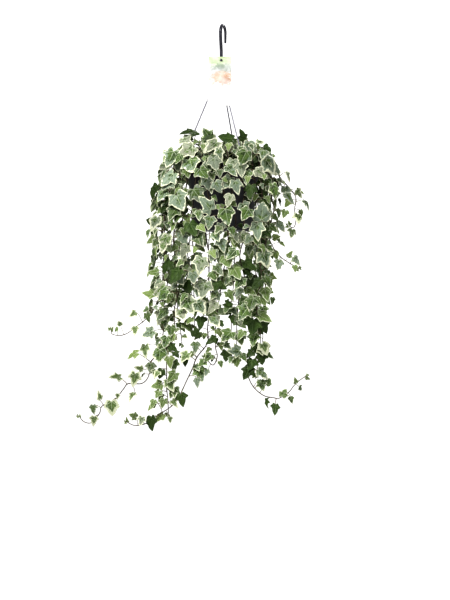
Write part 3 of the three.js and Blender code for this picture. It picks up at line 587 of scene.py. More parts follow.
def leaf_shape(length, draw):
    return dict(long=length, spread=0.82 + 0.26 * draw(), fold=0.04 + 0.3 * draw(), droop=0.02 + 0.3 * draw())


def outwards(stem, spot):
    push = -SPREAD_AXIS if stem["front"] else SPREAD_AXIS
    return unit(vec(0.45 * spot[0], spot[1] + push, 0))


def grown_leaf(stem, distance, index, attempt):
    """A leaf to one side of its stem, facing out and up, with its apex hanging"""
    draw = seeded(stem["seed"] * 100003 + index * 1319 + attempt * 17)
    spot, heading = stem_spot(stem, distance)
    out = outwards(stem, spot)
    side = unit(cross(heading, out)) * (1 if index % 2 else -1)
    length = lerp(*stem["long"], distance / stem["whole"]) * (0.82 + 0.3 * draw())
    reach = length * (0.45 + 0.55 * draw())
    notch = vec(0, 0, (0.5 if stem["crown"] else -0.1) + 0.5 * draw())
    notch = notch + out * (0.25 + 0.8 * draw()) + side * (0.3 + 0.8 * draw())
    notch = unit(notch) * reach + spot
    face = out * 0.7 + side * (0.5 * draw() - 0.15)
    face[2] += 0.15 + 0.5 * draw()
    face = unit(face)
    tip = side * (0.15 + 0.8 * draw()) + heading * 0.2
    tip[2] -= 0.55 + 0.5 * draw()
    tip = unit(tip - face * (tip @ face))
    return dict(distance=distance, notch=notch, tip=tip, face=face, **leaf_shape(length, draw))


def placed_leaf(stem, place, index, attempt):
    """A leaf whose middle and apex direction are given as seen from the front"""
    draw = seeded(stem["seed"] * 70001 + index * 911 + attempt * 29)
    x, z, given, turn, roll = place[:5]
    length = given * (1 - 0.06 * (attempt // 6))
    bearing = math.radians(turn + (draw() - 0.5) * 24)
    pitch = (0.1 + 0.5 * draw()) * (-0.4 if draw() < 0.3 else 1)
    tip = unit(vec(math.cos(bearing), -math.sin(pitch), math.sin(bearing)))
    face = vec(0.2 * (draw() - 0.5), -1, 0.1 + 0.3 * draw())
    face = unit(face - tip * (face @ tip))
    face = turned(face, tip, roll + (draw() - 0.5) * 16)
    notch_x = x - tip[0] * 0.42 * length
    notch_z = z - tip[2] * 0.42 * length
    best, base = math.inf, None
    for distance, spot, _ in stem["roots"]:
        miss = abs(math.hypot(spot[0] - notch_x, spot[2] - notch_z) - 0.4 * length)
        miss += 3 if spot[2] < notch_z else 0
        if any(abs(other["distance"] - distance) < ROOT_SPACE for other in stem["leaves"]):
            miss += 40
        if miss < best:
            best, base = miss, (distance, spot)
    distance, spot = base
    depth = length * (0.2 + 0.12 * (attempt % 6)) + 3
    notch = vec(notch_x, spot[1] - depth, notch_z)
    return dict(distance=distance, notch=notch, tip=tip, face=face, **leaf_shape(length, draw))


def rise_at(leaf, u, v):
    """How far a blade's face stands off its flat, for its length"""
    return leaf["fold"] * abs(v) - leaf["droop"] * u * abs(u)


def stands(leaf, tree):
    """True where the plain solid has this very blade"""
    half = PLAIN_HALF if leaf["long"] < PLAIN_BELOW else FULL_HALF
    side = cross(leaf["face"], leaf["tip"])
    for u, v in [*half, (1, 0), *[(a, -b) for a, b in half]]:
        v *= leaf["spread"]
        spot = leaf["notch"] + leaf["long"] * (leaf["tip"] * u + side * v)
        spot += leaf["face"] * (rise_at(leaf, u, v) * leaf["long"] + BLADE_THICK / 2)
        if tree.find(spot * MM)[2] > MATCH * MM:
            return False
    return True


def grow_all():
    """Every stem with the leaves that its plain solid has"""
    stems = [grow_stem(entry, number) for number, entry in enumerate([*VINES, *SPRIGS])]
    trees = {}
    for stem in stems:
        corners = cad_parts[stem["name"]].data.vertices
        tree = KDTree(len(corners))
        for i, corner in enumerate(corners):
            tree.insert(corner.co, i)
        tree.balance()
        trees[stem["name"]] = tree
    for stem in stems:
        for index, place in enumerate(stem.get("placed", ())):
            tries = (placed_leaf(stem, place, index, attempt) for attempt in range(TRIES_PLACED))
            take_first(stem, tries, trees[stem["name"]], place[5] if len(place) > 5 else "")
    for stem in stems:
        distance = 32 if stem["crown"] else 60
        index = 0
        while distance < stem["whole"] - 3:
            height = stem_spot(stem, distance)[0][2]
            if not any(low < height < high for low, high in stem.get("bare", ())):
                tries = (grown_leaf(stem, distance, index, attempt) for attempt in range(TRIES_GROWN))
                take_first(stem, tries, trees[stem["name"]], "")
            distance += stem["every"] * lerp(1.4, 0.9, distance / stem["whole"])
            index += 1
    return stems


def take_first(stem, tries, tree, tone):
    for leaf in tries:
        if stands(leaf, tree):
            stem["leaves"].append({**leaf, "tone": tone, "index": len(stem["leaves"])})
            return


# Blades: the outline of one half from the petiole round to the apex, as places along and
# across the midrib of a blade of length 1
FULL_HALF = ((-0.16, 0.3), (0.38, 0.56), (0.5, 0.27))
PLAIN_HALF = ((0.2, 0.5), (0.46, 0.24))
LOBED = (
    (0, 0), (-0.06, 0.04), (-0.13, 0.11), (-0.175, 0.21), (-0.17, 0.31), (-0.115, 0.375),
    (-0.035, 0.395), (0.045, 0.4), (0.12, 0.435), (0.205, 0.505), (0.3, 0.572), (0.375, 0.585),
    (0.41, 0.53), (0.418, 0.44), (0.44, 0.355), (0.49, 0.3), (0.56, 0.283), (0.64, 0.268),
    (0.73, 0.228), (0.82, 0.162), (0.905, 0.09), (0.97, 0.032), (1, 0),
)
BROAD = (
    (0, 0), (-0.06, 0.045), (-0.12, 0.12), (-0.15, 0.215), (-0.13, 0.31), (-0.06, 0.38),
    (0.03, 0.42), (0.12, 0.46), (0.22, 0.515), (0.32, 0.555), (0.395, 0.55), (0.44, 0.495),
    (0.47, 0.425), (0.51, 0.375), (0.57, 0.345), (0.65, 0.312), (0.735, 0.262), (0.81, 0.202),
    (0.88, 0.136), (0.94, 0.072), (0.98, 0.024), (1, 0),
)
YOUNG = (
    (0, 0), (-0.06, 0.045), (-0.11, 0.12), (-0.125, 0.205), (-0.08, 0.27), (0.0, 0.335),
    (0.09, 0.43), (0.175, 0.505), (0.235, 0.515), (0.29, 0.455), (0.345, 0.355), (0.41, 0.3),
    (0.5, 0.285), (0.6, 0.262), (0.71, 0.205), (0.82, 0.135), (0.92, 0.06), (1, 0),
)
OUTLINES = {"l": LOBED, "b": BROAD, "y": YOUNG}
BLADE_HEART = 0.13
FULL_RINGS = (1, 0.94, 0.82, 0.6, 0.35)
YOUNG_RINGS = (1, 0.85, 0.45)
UPPER, UNDER, STEM = 0, 1, 2


def blade_template(half, rings):
    """Places over a blade with how near each is to the rim, its faces and their sides"""
    rim = [*half, *[(u, -v) for u, v in half[-2:0:-1]]]
    count = len(rim)
    places = [(BLADE_HEART + (u - BLADE_HEART) * ring, v * ring, ring) for ring in rings for u, v in rim]
    places.append((BLADE_HEART, 0, 0))
    size = len(places)
    upper = []
    for ring in range(len(rings) - 1):
        for i in range(count):
            a, b = ring * count + i, ring * count + (i + 1) % count
            upper.append((a, b, b + count, a + count))
    last = (len(rings) - 1) * count
    upper += [(last + i, last + (i + 1) % count, size - 1) for i in range(count)]
    under = [tuple(i + size for i in reversed(face)) for face in upper]
    edge = [(i, i + size, (i + 1) % count + size, (i + 1) % count) for i in range(count)]
    kinds = [UPPER] * len(upper) + [UNDER] * len(under) + [UPPER] * len(edge)
    return np.array(places, float), [*upper, *under, *edge], kinds


class Skin:
    """Gathers points, faces and what the materials read of them into one mesh"""

    def __init__(self):
        self.points, self.faces, self.kinds = [], [], []
        self.places, self.tones = [], []
        self.count = 0

    def add(self, points, faces, kinds=0, places=(0, 0, 0), tones=(0, 0, 0, 0)):
        points = np.asarray(points, float)
        self.points.append(points)
        self.faces += [tuple(i + self.count for i in face) for face in faces]
        self.kinds += [kinds] * len(faces) if isinstance(kinds, int) else kinds
        self.places.append(np.broadcast_to(places, (len(points), 3)))
        self.tones.append(np.broadcast_to(tones, (len(points), 4)))
        self.count += len(points)

    def build(self, name, materials, smooth=True):
        mesh = bpy.data.meshes.new(name)
        points = np.concatenate(self.points) * MM
        mesh.from_pydata(points.tolist(), [], self.faces)
        mesh.update()
        for finish in materials:
            mesh.materials.append(finish)
        mesh.polygons.foreach_set("material_index", self.kinds)
        mesh.polygons.foreach_set("use_smooth", [smooth] * len(self.faces))
        spot = mesh.attributes.new("place", "FLOAT_VECTOR", "POINT")
        spot.data.foreach_set("vector", np.concatenate(self.places).astype(np.float32).ravel())
        tone = mesh.attributes.new("tone", "FLOAT_COLOR", "POINT")
        tone.data.foreach_set("color", np.concatenate(self.tones).astype(np.float32).ravel())
        made = bpy.data.objects.new(name, mesh)
        bpy.context.scene.collection.objects.link(made)
        return made


def finish_piece(piece, slot, *nodes):
    """Makes a piece ride on the body and stand for the plain nodes it is made after"""
    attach(piece, BODY)
    if nodes:
        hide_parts(*nodes)
    return piece


def tube(path, radii, sides):
    """Points and faces of a round tube along a path, without twist, closed at both ends"""
    across = vec(1, 0.13, 0.07)
    points = []
    for i, spot in enumerate(path):
        heading = unit(path[min(i + 1, len(path) - 1)] - path[max(i - 1, 0)])
        across = unit(across - heading * (across @ heading))
        other = cross(heading, across)
        for k in range(sides):
            angle = 2 * math.pi * k / sides
            points.append(spot + radii[i] * (across * math.cos(angle) + other * math.sin(angle)))
    faces = [tuple(range(sides - 1, -1, -1))]
    for i in range(len(path) - 1):
        for k in range(sides):
            a, b = i * sides + k, i * sides + (k + 1) % sides
            faces.append((a, b, b + sides, a + sides))
    faces.append(tuple(range(len(points) - sides, len(points))))
    return np.array(points), faces


def smooth_path(points, pieces):
    path = []
    for span in range(len(points) - 1):
        path += [curve_point(points, span, step / pieces) for step in range(pieces)]
    return path + [points[-1]]


# Materials
class Wiring:
    """Adds nodes to one node tree and joins them"""

    def __init__(self, tree):
        self.tree = tree

    def put(self, socket, value):
        if isinstance(value, bpy.types.NodeSocket):
            self.tree.links.new(value, socket)
        else:
            socket.default_value = value

    def node(self, kind, inputs=(), **settings):
        made = self.tree.nodes.new("ShaderNode" + kind)
        for name, value in settings.items():
            setattr(made, name, value)
        for name, value in dict(inputs).items():
            self.put(made.inputs[name], value)
        return made

    def math(self, operation, *values, clamp=False):
        made = self.node("Math", enumerate(values), operation=operation, use_clamp=clamp)
        return made.outputs[0]

    def mix(self, factor, first, second, blend="MIX"):
        inputs = {0: factor, 6: first, 7: second}
        made = self.node("Mix", inputs, data_type="RGBA", blend_type=blend)
        return made.outputs[2]

    def ramp(self, value, low, high, to_low=0.0, to_high=1.0):
        inputs = {"Value": value, "From Min": low, "From Max": high, "To Min": to_low, "To Max": to_high}
        made = self.node("MapRange", inputs, interpolation_type="SMOOTHSTEP")
        return made.outputs[0]

    def noise(self, vector, scale, detail=2.0, roughness=0.5, distortion=0.0):
        inputs = {
            "Vector": vector, "Scale": scale, "Detail": detail, "Roughness": roughness,
            "Distortion": distortion,
        }
        return self.node("TexNoise", inputs).outputs[0]

    def bump(self, height, strength, distance):
        inputs = {"Height": height, "Strength": strength, "Distance": distance}
        return self.node("Bump", inputs).outputs[0]

    def combine(self, x, y, z):
        return self.node("CombineXYZ", {0: x, 1: y, 2: z}).outputs[0]

    def attribute(self, name):
        return self.node("Attribute", attribute_name=name)

    def group(self, tree, **inputs):
        made = self.node("Group", node_tree=tree)
        for name, value in inputs.items():
            self.put(made.inputs[name], value)
        return made.outputs


def rgb(colour):
    return (*colour[:3], 1.0)


VEIN_TURNS = (0, 54, 112)
SIDE_VEIN_LEAN = 0.75
SIDE_VEIN_RATE = 7.5


def new_group(name, inputs, outputs):
    """An empty shader node group, its wiring, what goes in and what comes out"""
    tree = bpy.data.node_groups.new(name, "ShaderNodeTree")
    for label, kind, default in inputs:
        socket = tree.interface.new_socket(name=label, in_out="INPUT", socket_type="NodeSocket" + kind)
        socket.default_value = default
    for label in outputs:
        tree.interface.new_socket(name=label, in_out="OUTPUT", socket_type="NodeSocketFloat")
    given = tree.nodes.new("NodeGroupInput").outputs
    return tree, Wiring(tree), given, tree.nodes.new("NodeGroupOutput").inputs


def make_veins_group():
    """Palmate veins of a blade: five main veins from the petiole, with their side veins"""
    inputs = (("Place", "Vector", (0, 0, 0)), ("Width", "Float", 0.012))
    tree, w, given, out = new_group("Ivy veins", inputs, ("Main", "Side"))
    parts = w.node("SeparateXYZ", {0: given["Place"]}).outputs
    along, across = parts[0], w.math("ABSOLUTE", parts[1])
    main, side = 0.0, 0.0
    for degrees in VEIN_TURNS:
        cos, sin = math.cos(math.radians(degrees)), math.sin(math.radians(degrees))
        run = w.math("ADD", w.math("MULTIPLY", along, cos), w.math("MULTIPLY", across, sin))
        far = w.math("SUBTRACT", w.math("MULTIPLY", across, cos), w.math("MULTIPLY", along, sin))
        far = w.math("ABSOLUTE", far)
        wide = w.math("MULTIPLY", given["Width"], w.ramp(run, 0.0, 0.95, 1.25, 0.35))
        line = w.ramp(w.math("DIVIDE", far, wide), 0.55, 1.35, 1.0, 0.0)
        main = w.math("MAXIMUM", main, w.math("MULTIPLY", line, w.ramp(run, 0.0, 0.02)))
        rise = w.math("SUBTRACT", run, w.math("MULTIPLY", far, SIDE_VEIN_LEAN))
        wave = w.math("FRACT", w.math("MULTIPLY", rise, SIDE_VEIN_RATE))
        wave = w.math("ABSOLUTE", w.math("SUBTRACT", wave, 0.5))
        thin = w.math("MULTIPLY", w.ramp(wave, 0.0, 0.09, 1.0, 0.0), w.ramp(far, 0.17, 0.24, 1.0, 0.0))
        side = w.math("MAXIMUM", side, w.math("MULTIPLY", thin, w.ramp(run, 0.08, 0.2)))
    w.put(out["Main"], main)
    w.put(out["Side"], side)
    return tree


def make_mottle_group():
    """Two sizes of soft noise together, for uneven colour"""
    inputs = (("Place", "Vector", (0, 0, 0)), ("Coarse", "Float", 40.0), ("Fine", "Float", 400.0))
    tree, w, given, out = new_group("Uneven tone", inputs, ("Tone", "Grain"))
    coarse = w.noise(given["Place"], given["Coarse"], 3.0, 0.55)
    fine = w.noise(given["Place"], given["Fine"], 2.0, 0.6)
    w.put(out["Tone"], w.math("ADD", w.math("MULTIPLY", coarse, 0.7), w.math("MULTIPLY", fine, 0.3)))
    w.put(out["Grain"], fine)
    return tree


def start_material(name, roughness, specular=0.5):
    """A material with its Principled shader, and the wiring to dress it"""
    finish = bpy.data.materials.new(name)
    finish.use_nodes = True
    shader = finish.node_tree.nodes["Principled BSDF"]
    shader.inputs["Roughness"].default_value = roughness
    shader.inputs["Specular IOR Level"].default_value = specular
    return finish, Wiring(finish.node_tree), shader.inputs


def shared_group(name, make):
    return bpy.data.node_groups.get(name) or make()


def leaf_material(leaf, under):
    """Variegated blade: cream margin, silver heart with green patches, pale veins, and deep green painted
    shade on blades inside the plant
    """
    finish, w, shader = start_material("ivy_leaf_under" if under else "ivy_leaf_upper", 0.5, 0.2)
    place = w.attribute("place")
    tone = w.attribute("tone")
    ring = w.node("SeparateXYZ", {0: place.outputs["Vector"]}).outputs[2]
    margin, silver, young = w.node("SeparateColor", {0: tone.outputs["Color"]}).outputs[:3]
    lone = tone.outputs["Alpha"]
    shift = w.combine(*(w.math("MULTIPLY", lone, far) for far in (41.0, 17.0, 5.0)))
    flat = w.node("VectorMath", {0: place.outputs["Vector"], 1: (1, 1, 0)}, operation="MULTIPLY").outputs[0]
    own = w.node("VectorMath", {0: flat, 1: shift}, operation="ADD").outputs[0]
    mottle = w.group(shared_group("Uneven tone", make_mottle_group), Place=own, Coarse=5.0, Fine=26.0)
    vein_group = shared_group("Ivy veins", make_veins_group)
    veins = w.group(vein_group, Place=place.outputs["Vector"], Width=leaf.vein_width)

    patch_from = w.math("MULTIPLY_ADD", silver, 0.27, 0.17)
    patch_from = w.math("ADD", patch_from, w.math("MULTIPLY", ring, 0.3))
    patch = w.ramp(w.math("SUBTRACT", mottle["Tone"], patch_from), -0.05, 0.07)
    sage = w.mix(w.ramp(lone, 0.55, 1.0), rgb(leaf.silver), rgb(leaf.warm))
    sage = w.mix(w.ramp(mottle["Grain"], 0.3, 0.7, 0.0, 0.5), sage, rgb(leaf.mist))
    heart = w.mix(patch, sage, rgb(leaf.green))
    deep = w.ramp(w.math("SUBTRACT", w.noise(own, 3.1, 2.0), w.math("MULTIPLY", ring, 0.12)), 0.42, 0.56)
    heart = w.mix(w.math("MULTIPLY", deep, w.math("MULTIPLY", patch, 0.85)), heart, rgb(leaf.deep))
    heart = w.mix(w.math("MULTIPLY", veins["Side"], 0.3), heart, rgb(leaf.vein))
    heart = w.mix(w.math("MULTIPLY", veins["Main"], 0.8), heart, rgb(leaf.vein))
    wander = w.math("MULTIPLY_ADD", w.noise(own, 9.0, 3.0), 0.62, -0.31)
    edge = w.math("SUBTRACT", w.math("ADD", ring, wander), w.math("SUBTRACT", 1.0, margin))
    edge = w.ramp(edge, -0.025, 0.03)
    cream = w.mix(w.ramp(mottle["Grain"], 0.35, 0.7), rgb(leaf.cream), rgb(leaf.ivory))
    colour = w.mix(edge, heart, cream)
    fresh = w.mix(w.ramp(ring, 0.86, 1.0), rgb(leaf.young), rgb(leaf.ivory))
    fresh = w.mix(w.math("MULTIPLY", veins["Main"], 0.5), fresh, rgb(leaf.ivory))
    colour = w.mix(w.ramp(young, 0.55, 0.95), colour, fresh)
    # Below 0.5 the third tone value mixes in deep green: painted shade on blades inside and low in the plant,
    # partly darker leaves; the under side follows it.
    old = w.ramp(young, 0.0, 0.45, 1.0, 0.0)
    shaded = w.mix(w.ramp(mottle["Tone"], 0.4, 0.6, 0.0, 0.35), rgb(leaf.dark), rgb(leaf.green))
    shaded = w.mix(w.math("MULTIPLY", veins["Main"], 0.55), shaded, rgb(leaf.green))
    colour = w.mix(old, colour, shaded)
    if under:
        back = w.mix(old, rgb(leaf.under), rgb(leaf.deep))
        colour = w.mix(0.62, colour, back)
    light = w.ramp(w.math("FRACT", w.math("MULTIPLY", lone, 7.0)), 0.0, 1.0, 0.72, 1.12)
    colour = w.mix(1.0, colour, w.combine(light, light, light), "MULTIPLY")
    w.put(shader["Base Color"], colour)
    height = w.math("MULTIPLY", mottle["Tone"], 0.5)
    height = w.math("SUBTRACT", height, w.math("MULTIPLY", veins["Main"], 0.8))
    height = w.math("SUBTRACT", height, w.math("MULTIPLY", veins["Side"], 0.3))
    if under:
        height = w.math("MULTIPLY", height, -1.0)
    w.put(shader["Normal"], w.bump(height, 0.55, 0.0006))
    w.put(shader["Roughness"], w.ramp(mottle["Tone"], 0.3, 0.7, leaf.roughness - 0.08, leaf.roughness + 0.1))
    return finish


def stem_material(stem):
    """Stems brown below and purple to green above, petioles paler"""
    finish, w, shader = start_material("ivy_stem", 0.55, 0.35)
    share, petiole, _ = w.node("SeparateXYZ", {0: w.attribute("place").outputs["Vector"]}).outputs
    where = w.node("TexCoord").outputs["Object"]
    mottle = w.group(shared_group("Uneven tone", make_mottle_group), Place=where, Coarse=90.0, Fine=700.0)
    bark = w.mix(w.ramp(share, 0.25, 0.8), rgb(stem.old), rgb(stem.young))
    bark = w.mix(w.ramp(mottle["Tone"], 0.42, 0.62), bark, rgb(stem.streak))
    stalk = w.mix(w.ramp(mottle["Tone"], 0.35, 0.65), rgb(stem.petiole), rgb(stem.blush))
    w.put(shader["Base Color"], w.mix(petiole, bark, stalk))
    w.put(shader["Normal"], w.bump(mottle["Grain"], 0.5, 0.0003))
    return finish


def plastic_material(name, colour, dust_and_sheen, roughness, coarse):
    """Moulded plastic: faint flow marks, dust that dulls it in paler patches that also stand for painted
    sheen, and a fine moulding grain
    """
    finish, w, shader = start_material(name, roughness, 0.35)
    where = w.node("TexCoord").outputs["Object"]
    drawn = w.node("VectorMath", {0: where, 1: (1, 1, 0.25)}, operation="MULTIPLY").outputs[0]
    mottle = w.group(shared_group("Uneven tone", make_mottle_group), Place=drawn, Coarse=coarse, Fine=1400.0)
    # Paler slate patches: dust, and painted sheen of the glossy plastic
    w.put(shader["Base Color"], w.mix(w.ramp(mottle["Tone"], 0.4, 0.75), rgb(colour), rgb(dust_and_sheen)))
    w.put(shader["Roughness"], w.ramp(mottle["Tone"], 0.3, 0.7, roughness - 0.06, roughness + 0.1))
    w.put(shader["Normal"], w.bump(mottle["Grain"], 0.12, 0.0003))
    return finish


def soil_material(settings):
    """Dark peat with paler bark and a few pale grains"""
    finish, w, shader = start_material("potting_mix", 0.95, 0.2)
    kind, own, _ = w.node("SeparateXYZ", {0: w.attribute("place").outputs["Vector"]}).outputs
    where = w.node("TexCoord").outputs["Object"]
    mottle = w.group(shared_group("Uneven tone", make_mottle_group), Place=where, Coarse=160.0, Fine=900.0)
    peat = w.mix(w.ramp(mottle["Tone"], 0.35, 0.7), rgb(settings.peat), rgb(settings.fibre))
    bark = w.mix(own, rgb(settings.bark), rgb(settings.fibre))
    colour = w.mix(w.math("MINIMUM", kind, 1.0), peat, bark)
    colour = w.mix(w.ramp(kind, 1.4, 1.6), colour, rgb(settings.grain))
    w.put(shader["Base Color"], colour)
    w.put(shader["Normal"], w.bump(mottle["Grain"], 0.8, 0.0012))
    return finish


def tag_material(settings):
    """White card with soft washes of colour over its upper half, and a plain back"""
    finish, w, shader = start_material("tag_card", 0.38, 0.5)
    place = w.attribute("place").outputs["Vector"]
    across, high, side = w.node("SeparateXYZ", {0: place}).outputs
    flat = w.combine(across, w.math("MULTIPLY", high, 2.26), 0.0)
    haze = w.noise(flat, 2.6, 2.0, 0.5, 0.4)
    blots = w.noise(flat, 7.5, 3.0, 0.55, 0.9)
    white, green, leafy, peach, rose, lilac = (rgb(c) for c in (
        settings.card, settings.pale, settings.sage, settings.peach, settings.rose, settings.lilac))

    def cloud(at_x, at_y, rate_x, rate_y, ragged):
        aside = w.math("MULTIPLY", w.math("SUBTRACT", across, at_x), rate_x)
        above = w.math("MULTIPLY", w.math("SUBTRACT", high, at_y), rate_y)
        far = w.math("SQRT", w.math("ADD", w.math("POWER", aside, 2.0), w.math("POWER", above, 2.0)))
        far = w.math("ADD", far, w.math("MULTIPLY", w.math("SUBTRACT", blots, 0.5), ragged))
        return w.ramp(far, 0.35, 1.15, 1.0, 0.0)

    colour = w.mix(w.math("MULTIPLY", cloud(0.45, 0.62, 1.4, 3.4, 1.4), 0.5), white, lilac)
    colour = w.mix(w.math("MULTIPLY", cloud(0.5, 1.0, 1.2, 3.6, 0.8), 0.85), colour, green)
    colour = w.mix(w.math("MULTIPLY", cloud(0.66, 0.77, 1.9, 9.0, 1.6), 0.8), colour, leafy)
    colour = w.mix(w.math("MULTIPLY", cloud(0.6, 0.57, 1.9, 6.5, 2.0), 0.85), colour, peach)
    colour = w.mix(w.math("MULTIPLY", cloud(0.75, 0.52, 3.4, 9.0, 2.4), 0.7), colour, rose)
    colour = w.mix(w.ramp(haze, 0.35, 0.75, 0.0, 0.55), colour, white)
    from_middle = w.math("ABSOLUTE", w.math("SUBTRACT", across, 0.5))
    printed = w.math("MULTIPLY", side, w.ramp(from_middle, 0.46, 0.47, 1.0, 0.0))
    w.put(shader["Base Color"], w.mix(printed, white, colour))
    w.put(shader["Normal"], w.bump(w.noise(flat, 160.0, 2.0), 0.06, 0.0002))
    return finish


# Plant
YOUNG_SEED = 400009
YOUNG_TRIES = 7
YOUNG_CLEAR = 1.0
# How lively and how large a blade is built, tried in turn until it crosses no other
FORMS_TRIED = ((1, 1), (0.6, 1), (0.3, 0.94), (0.1, 0.88), (0.1, 0.8), (0.1, 0.72))
# Margin width, silver, and youth or painted shade of a blade (above 0.5 younger, below it deeper green), for
# each kind of leaf
TONES = {
    "s": (0.1, 0.95, 0.5),
    "m": (0.1, 0.55, 0.5),
    "g": (0.07, 0.15, 0.5),
    "c": (0.22, 0.8, 0.5),
    "p": (0.04, 0.5, 0.95),
    "o": (0.06, 0.2, 0.75),
    # d: deep green blades, partly painted shade for blades inside and low in the plant, partly darker leaves
    "d": (0.03, 0.1, 0.08),
    "f": (0.27, 0.4, 0.68),
}
# How often each kind grows in a part of the plant; the shade zone, low on the right, holds more d blades as
# painted shade
ZONES = {
    "crown": "ssssssmmmmcggggdd",
    "side": "sssssmmmmcggggoddd",
    "low": "sssmmmmccggggggooddp",
    "shade": "smmmggggggooodddd",
    "young": "ssmmcfgggoooodfp",
    "tail": "fffffcmgop",
}
YOUNG_BELOW = 23
THIN = ("vine_right_curl", "vine_right_mid", "vine_right_low")
TAIL_BELOW, TAIL_LEFT = -590, -60
YOUNG_LOWEST = -768
CROWN_TOP = -255
# Blades nearer the upright axis than HIDDEN_FROM take the d kinds more often, most often HIDDEN_OVER further
# in: painted shade inside the plant
HIDDEN_FROM, HIDDEN_OVER = 108, 34


def draw_from(options, draw):
    return options[int(draw() * len(options))]


def smooth_spot(stem, distance):
    """The point of a stem's smooth curve at a distance along it"""
    along = stem["along"]
    i = 1
    while i < len(along) - 1 and along[i] < distance:
        i += 1
    share = (distance - along[i - 1]) / (along[i] - along[i - 1])
    return curve_point(stem["path"], i - 1, share)


def stem_radius(stem, distance, plant):
    thick = plant.crown_stem if stem["crown"] else plant.stem
    return lerp(thick, plant.stem_tip, distance / stem["whole"]) / MM


def add_stem(skin, stem, plant):
    """A round stem with a swelling at every leaf, thin at its tip"""
    steps = plant.stem_steps
    path = smooth_path(stem["path"], steps)
    along = np.interp(np.arange(len(path)) / steps, range(len(stem["along"])), stem["along"])
    roots = np.array([leaf["distance"] for leaf in stem["leaves"]] or [0.0])
    radii = []
    for distance in along:
        swell = 0.28 * math.exp(-(np.abs(roots - distance).min() ** 2) / 5)
        tip = min(1.0, 0.45 + (stem["whole"] - distance) / 12)
        radii.append(stem_radius(stem, distance, plant) * (1 + swell) * tip)
    points, faces = tube(path, radii, plant.stem_sides)
    share = np.repeat(along / stem["whole"], plant.stem_sides)
    skin.add(points, faces, STEM, np.stack([share, share * 0, share * 0], 1))


def add_petiole(skin, stem, leaf, plant, lift):
    """A petiole that leaves its stem and curves round to the foot of its blade"""
    root = smooth_spot(stem, leaf["distance"])
    reach = leaf["notch"] - root
    length = math.sqrt(reach @ reach)
    leave = root + reach * 0.35 + vec(0, 0, 0.25 * length * lift)
    arrive = leaf["notch"] - leaf["tip"] * 0.2 * length - leaf["face"] * 0.22 * length
    foot = leaf["notch"] + leaf["tip"] * 0.035 * leaf["long"] - leaf["face"] * 0.3
    path = []
    for t in np.linspace(0, 1, 8):
        s = 1 - t
        path.append(root * s**3 + 3 * leave * s**2 * t + 3 * arrive * s * t**2 + foot * t**3)
    thick = plant.petiole / MM * min(1.0, 0.45 + leaf["long"] / 45)
    radii = [thick * (1.25 - 0.3 * t) for t in np.linspace(0, 1, 8)]
    points, faces = tube(path, radii, 6)
    share = leaf["distance"] / stem["whole"]
    skin.add(points, faces, STEM, (share, 1, 0))


def blade_spots(leaf, template, luck, lively, size):
    """The middle surface of a blade with its fold, droop, twist, pucker and wavy rim"""
    places = template[0]
    u, v, ring = places[:, 0], places[:, 1], places[:, 2]
    flank = v * leaf["spread"] * (1 + (luck[0] - 0.5) * 0.16 * lively * np.sign(v))
    angle = np.arctan2(v, u - BLADE_HEART)
    u = u + lively * ((luck[1] - 0.5) * 0.14 * np.abs(v) + (luck[2] - 0.5) * 0.1 * v)
    flank = flank + lively * (luck[3] - 0.5) * 0.16 * np.maximum(u, 0) ** 2
    veins = np.radians([*VEIN_TURNS, *(-turn for turn in VEIN_TURNS[1:])])
    apart = np.abs(angle[:, None] - veins).min(axis=1)
    waves = np.sin((3 + int(3 * luck[6])) * angle + math.tau * luck[7])
    bend = (0.02 + 0.045 * luck[5]) * ring**2 * waves
    bend -= (0.05 + 0.35 * luck[4]) * np.maximum(np.abs(flank) - 0.16, 0) ** 2 * 3
    pucker = 1 - np.exp(-((apart / 0.22) ** 2))
    bend += (0.025 + 0.03 * luck[8]) * np.sin(math.pi * np.minimum(ring, 0.97)) * pucker
    bend += (luck[9] - 0.5) * 0.3 * u * flank
    bend += (luck[10] - 0.4) * 0.2 * np.maximum(u - 0.45, 0) ** 2 * 3
    rise = leaf["fold"] * (np.sqrt(flank**2 + 0.0016) - 0.04) - leaf["droop"] * u * np.abs(u)
    rise += lively * bend
    side = cross(leaf["face"], leaf["tip"])
    return leaf["notch"] + size * leaf["long"] * (
        np.outer(u, leaf["tip"]) + np.outer(flank, side) + np.outer(rise, leaf["face"])
    )


def add_blade(skin, leaf, template, thick, draw):
    """One blade as a thin closed shell, calmer in form where it would cross another"""
    places, faces, kinds = template
    luck = [draw() for _ in range(11)]
    half = leaf["face"] * thick / 2
    for lively, size in FORMS_TRIED:
        base = blade_spots(leaf, template, luck, lively, size)
        shell = [*(base + half), *(base - half)]
        centre = (base.min(axis=0) + base.max(axis=0)) / 2
        radius = np.sqrt(((base - centre) ** 2).sum(axis=1).max())
        found = centre, radius, BVHTree.FromPolygons([Vector(spot) for spot in shell], faces)
        if not built_blades().crosses(*found):
            break
    built_blades().take(*found)
    skin.add(shell, faces, kinds, [*places, *places], (*leaf["look"], draw()))


def leaf_look(stem, leaf, draw):
    """Margin width, silver, and youth or painted shade of a blade: given, or drawn by where it grows"""
    name = leaf.get("tone")
    if not name:
        x, y, z = leaf["notch"]
        inside = (HIDDEN_FROM - math.hypot(x, y)) / HIDDEN_OVER
        inner_shade = min(max(inside, 0), 1) if z < CROWN_TOP else 0.2
        zone = "crown" if z > -340 else "side" if z > -480 else "shade" if x > 15 else "low"
        if leaf["long"] < YOUNG_BELOW:
            zone = "young"
        if z < TAIL_BELOW and (x < TAIL_LEFT or stem["name"] in THIN):
            zone = "tail"
        name = draw_from(ZONES[zone], draw)
        # Painted shade: blades deep inside the plant mostly take the d kinds
        if draw() < 0.8 * inner_shade:
            name = draw_from("dddg", draw)
    margin, silver, age_and_shade = TONES[name]
    return margin * (0.75 + 0.6 * draw()), silver * (0.85 + 0.2 * draw()), age_and_shade


